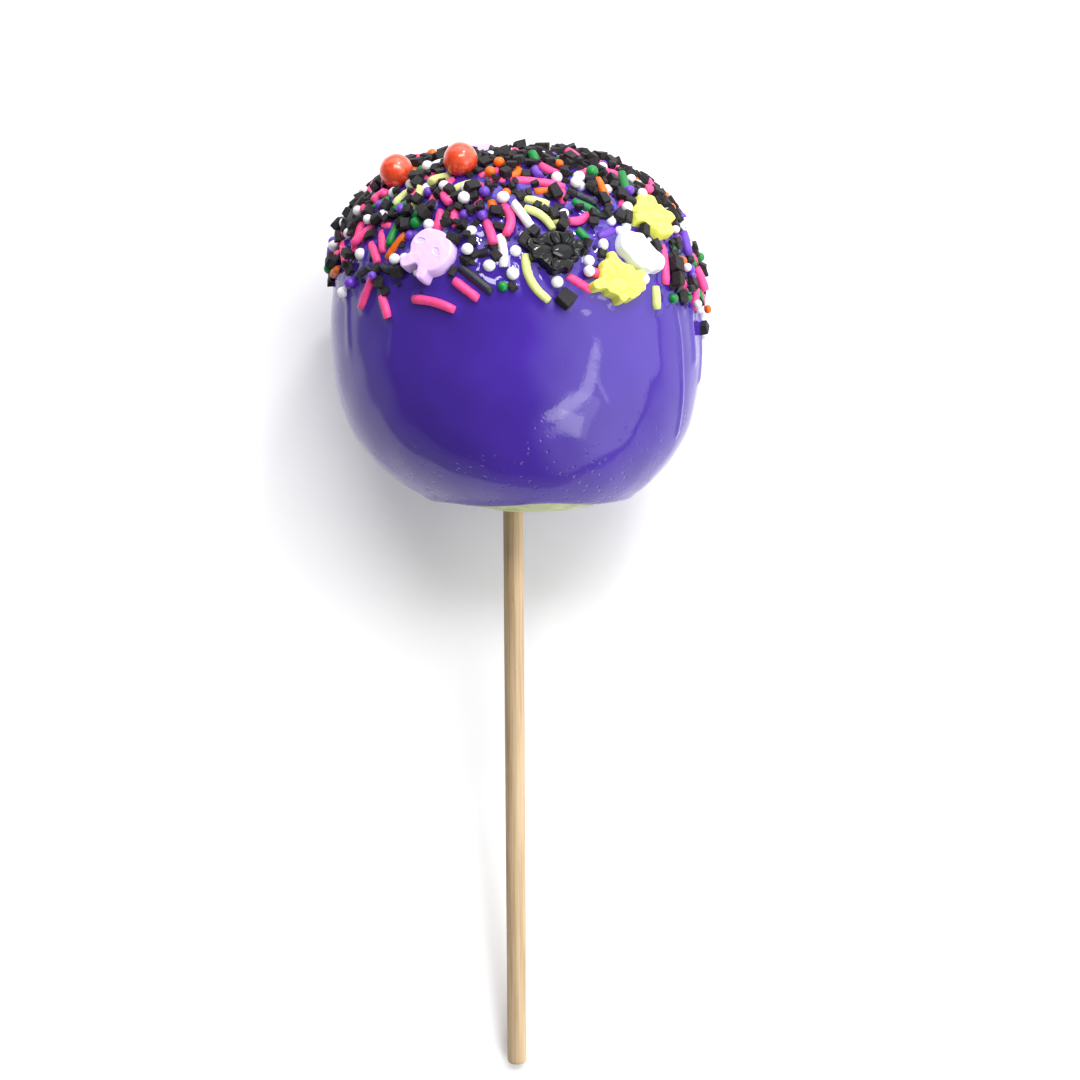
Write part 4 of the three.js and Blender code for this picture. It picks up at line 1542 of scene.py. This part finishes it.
class TOFFEEAPPLE_OT_crumbs(bpy.types.Operator):
    """Makes the dark biscuit crumbs, coarse and fine"""

    bl_idname = "toffee_apple.crumbs"
    bl_label = "Biscuit Crumbs"
    bl_options = {"REGISTER", "UNDO"}

    def execute(self, context):
        rng = np.random.default_rng(settings("sprinkles").seed + 3)
        for kind, bevel in CHUNK_BEVEL.items():
            batch = Batch()
            for crumb in sprinkles()[kind]:
                points, faces = chunk_mesh(rng, bevel)
                x, y, z = (points * crumb["size"] / 2).T
                spun = np.stack([*turned(x, y, crumb["turn"]), z], axis=1)
                points = crumb["centre"] + spun @ tipped(rng) @ crumb["axes"]
                batch.add(points, faces, rng.uniform())
            piece = batch.finish("biscuit_" + kind, crumb_finish(), smooth=False)
            settle(piece, "black_sugar")
        return {"FINISHED"}


# ---------------------------------------------------------------- stage

CAMERA_ACROSS = 4.4 * MM
CAMERA_ALONG = -39.0 * MM
SENSOR_WIDTH = 36.0

# A pool of light is painted on the floor: an oval that is pale inside and painted darker beyond
# it. Its middle and half its length each way in metres, and where, in shares of that, its soft
# edge starts and ends.
LIGHT_POOL_MIDDLE = (0.6, -0.04, 0.0)
LIGHT_POOL_REACH = (0.765, 0.42, 1.0)
LIGHT_POOL_FADE = (1.0, 1.05)
LAMP_DISTANCE = 0.9
# Lamps that glint on the toffee: name, azimuth and polar angle at which the glint starts and
# ends, the lamp's width in metres and its brightness.
GLINT_LAMPS = (
    ("long_glint_lamp", (24.5, 88), (9.5, 105), 0.11, 3.6),
    ("wide_glint_lamp", (16, 102), (13.5, 109), 0.17, 2.7),
    ("soft_glint_lamp", (20, 95), (14, 108), 0.3, 1.1),
    ("thin_glint_lamp", (25, 87), (31, 98), 0.05, 1.6),
    ("head_glint_lamp", (-6, 66), (12, 66), 0.2, 14.0),
    ("spark_lamp", (6, 56), (12, 56), 0.05, 90.0),
)
# Brightness of the surroundings: overhead and on the left, then what each bright side adds,
# as direction, where its soft edge starts and ends, and how much it adds.
ROOM = 0.2
BRIGHT_SIDES = (("X", 0.12, 0.75, 1.9), ("Y", 0.5, 0.95, 2.7))


class TOFFEEAPPLE_OT_stage(bpy.types.Operator):
    """Sets up the floor, the lights and the camera"""

    bl_idname = "toffee_apple.stage"
    bl_label = "Stage"
    bl_options = {"REGISTER", "UNDO"}

    def execute(self, context):
        look = settings("stage")
        self.make_floor(look)
        self.make_world()
        core = lying_pose() @ Vector((0, 0, 0))
        eye = core + Vector((CAMERA_ACROSS, CAMERA_ALONG, look.camera_height))
        for name, start, end, width, brightness in GLINT_LAMPS:
            ends = [self.mirrored(eye, *spot) for spot in (start, end)]
            self.make_lamp(name, ends, core, width, brightness)
        data = bpy.data.cameras.new("camera")
        data.lens = look.lens
        data.sensor_width = SENSOR_WIDTH
        camera = linked("camera", data)
        camera.location = eye
        context.scene.camera = camera
        context.scene.view_settings.view_transform = "Standard"
        return {"FINISHED"}

    def make_floor(self, look):
        finish = Finish("pale_floor", 0.7)
        grain = finish.range(finish.noise(40.0, 3.0), 0.3, 0.7)
        tint = finish.mix(grain, look.floor, darker(look.floor, 0.985))
        place = finish.node("ShaderNodeNewGeometry").outputs["Position"]
        for operation, value in (("SUBTRACT", LIGHT_POOL_MIDDLE), ("DIVIDE", LIGHT_POOL_REACH)):
            place = finish.node("ShaderNodeVectorMath", {0: place, 1: value},
                                operation=operation).outputs["Vector"]
        away = finish.node("ShaderNodeVectorMath", {0: place}, operation="LENGTH")
        # Painted shade: outside the painted pool of light the floor is painted at half its
        # brightness.
        painted_shade_share = finish.range(away.outputs["Value"], *LIGHT_POOL_FADE)
        finish.set("Base Color", finish.mix(painted_shade_share, tint, darker(look.floor, 0.5)))
        half = look.floor_size / 2
        corners = [(-half, -half, 0), (half, -half, 0), (half, half, 0), (-half, half, 0)]
        floor = add_object("floor", corners, [(0, 1, 2, 3)], finish.material)

    def make_world(self):
        world = bpy.data.worlds.new("soft_studio")
        bpy.context.scene.world = world
        world.use_nodes = True
        tree = world.node_tree
        place = tree.nodes.new("ShaderNodeTexCoord")
        apart = tree.nodes.new("ShaderNodeSeparateXYZ")
        tree.links.new(place.outputs["Generated"], apart.inputs[0])
        total = None
        for axis, start, end, added in BRIGHT_SIDES:
            ramp = tree.nodes.new("ShaderNodeMapRange")
            ramp.interpolation_type = "SMOOTHSTEP"
            values = {"From Min": start, "From Max": end, "To Min": 0.0, "To Max": added}
            for socket, value in values.items():
                ramp.inputs[socket].default_value = value
            tree.links.new(apart.outputs[axis], ramp.inputs["Value"])
            both = tree.nodes.new("ShaderNodeMath")
            both.inputs[1].default_value = ROOM
            if total is not None:
                tree.links.new(total, both.inputs[1])
            tree.links.new(ramp.outputs["Result"], both.inputs[0])
            total = both.outputs["Value"]
        light = tree.nodes["Background"]
        light.inputs["Color"].default_value = (1.0, 1.0, 1.0, 1.0)
        tree.links.new(total, light.inputs["Strength"])

    def mirrored(self, eye, azimuth, polar):
        """The place that the camera sees mirrored at a place on the toffee."""
        middle, axes = seat(azimuth, polar)
        point = Vector(laid(middle))
        out = (lying_pose().to_3x3() @ Vector(axes[2])).normalized()
        return point + (point - eye).normalized().reflect(out) * LAMP_DISTANCE

    def make_lamp(self, name, ends, aim, width, brightness):
        place, along = (ends[0] + ends[1]) / 2, ends[1] - ends[0]
        data = bpy.data.lights.new(name, "AREA")
        data.shape = "RECTANGLE"
        data.size, data.size_y = width, along.length
        data.energy = brightness * math.pi * width * along.length
        back = (place - aim).normalized()
        side = along.cross(back).normalized()
        facing = Matrix((side, back.cross(side), back)).transposed().to_4x4()
        linked(name, data).matrix_world = Matrix.Translation(place) @ facing


class TOFFEEAPPLE_PT_panel(bpy.types.Panel):
    """Lists the pieces of the toffee apple and their settings"""

    bl_idname = "TOFFEEAPPLE_PT_panel"
    bl_label = "Toffee Apple"
    bl_space_type = "VIEW_3D"
    bl_region_type = "UI"
    bl_category = "Toffee Apple"

    def draw(self, context):
        for name, group in SETTINGS.items():
            box = self.layout.box()
            box.label(text=group.__doc__)
            for key in group.__annotations__:
                box.prop(getattr(context.scene, name), key)
        for operator in OPERATORS:
            self.layout.operator(operator.bl_idname)


OPERATORS = (
    TOFFEEAPPLE_OT_stage,
    TOFFEEAPPLE_OT_fruit,
    TOFFEEAPPLE_OT_stick,
    TOFFEEAPPLE_OT_toffee,
    TOFFEEAPPLE_OT_sweets,
    TOFFEEAPPLE_OT_pearls,
    TOFFEEAPPLE_OT_jimmies,
    TOFFEEAPPLE_OT_balls,
    TOFFEEAPPLE_OT_crumbs,
)


def register():
    for name, group in SETTINGS.items():
        bpy.utils.register_class(group)
        setattr(bpy.types.Scene, name, bpy.props.PointerProperty(type=group))
    for operator in OPERATORS:
        bpy.utils.register_class(operator)
    bpy.utils.register_class(TOFFEEAPPLE_PT_panel)


def unregister():
    bpy.utils.unregister_class(TOFFEEAPPLE_PT_panel)
    for operator in reversed(OPERATORS):
        bpy.utils.unregister_class(operator)
    for name, group in SETTINGS.items():
        delattr(bpy.types.Scene, name)
        bpy.utils.unregister_class(group)


def main():
    register()
    bpy.ops.toffee_apple.stage()
    bpy.ops.toffee_apple.fruit()
    bpy.ops.toffee_apple.stick()
    bpy.ops.toffee_apple.toffee()
    bpy.ops.toffee_apple.sweets()
    bpy.ops.toffee_apple.pearls()
    bpy.ops.toffee_apple.jimmies()
    bpy.ops.toffee_apple.balls()
    bpy.ops.toffee_apple.crumbs()


if __name__ == "__main__":
    main()
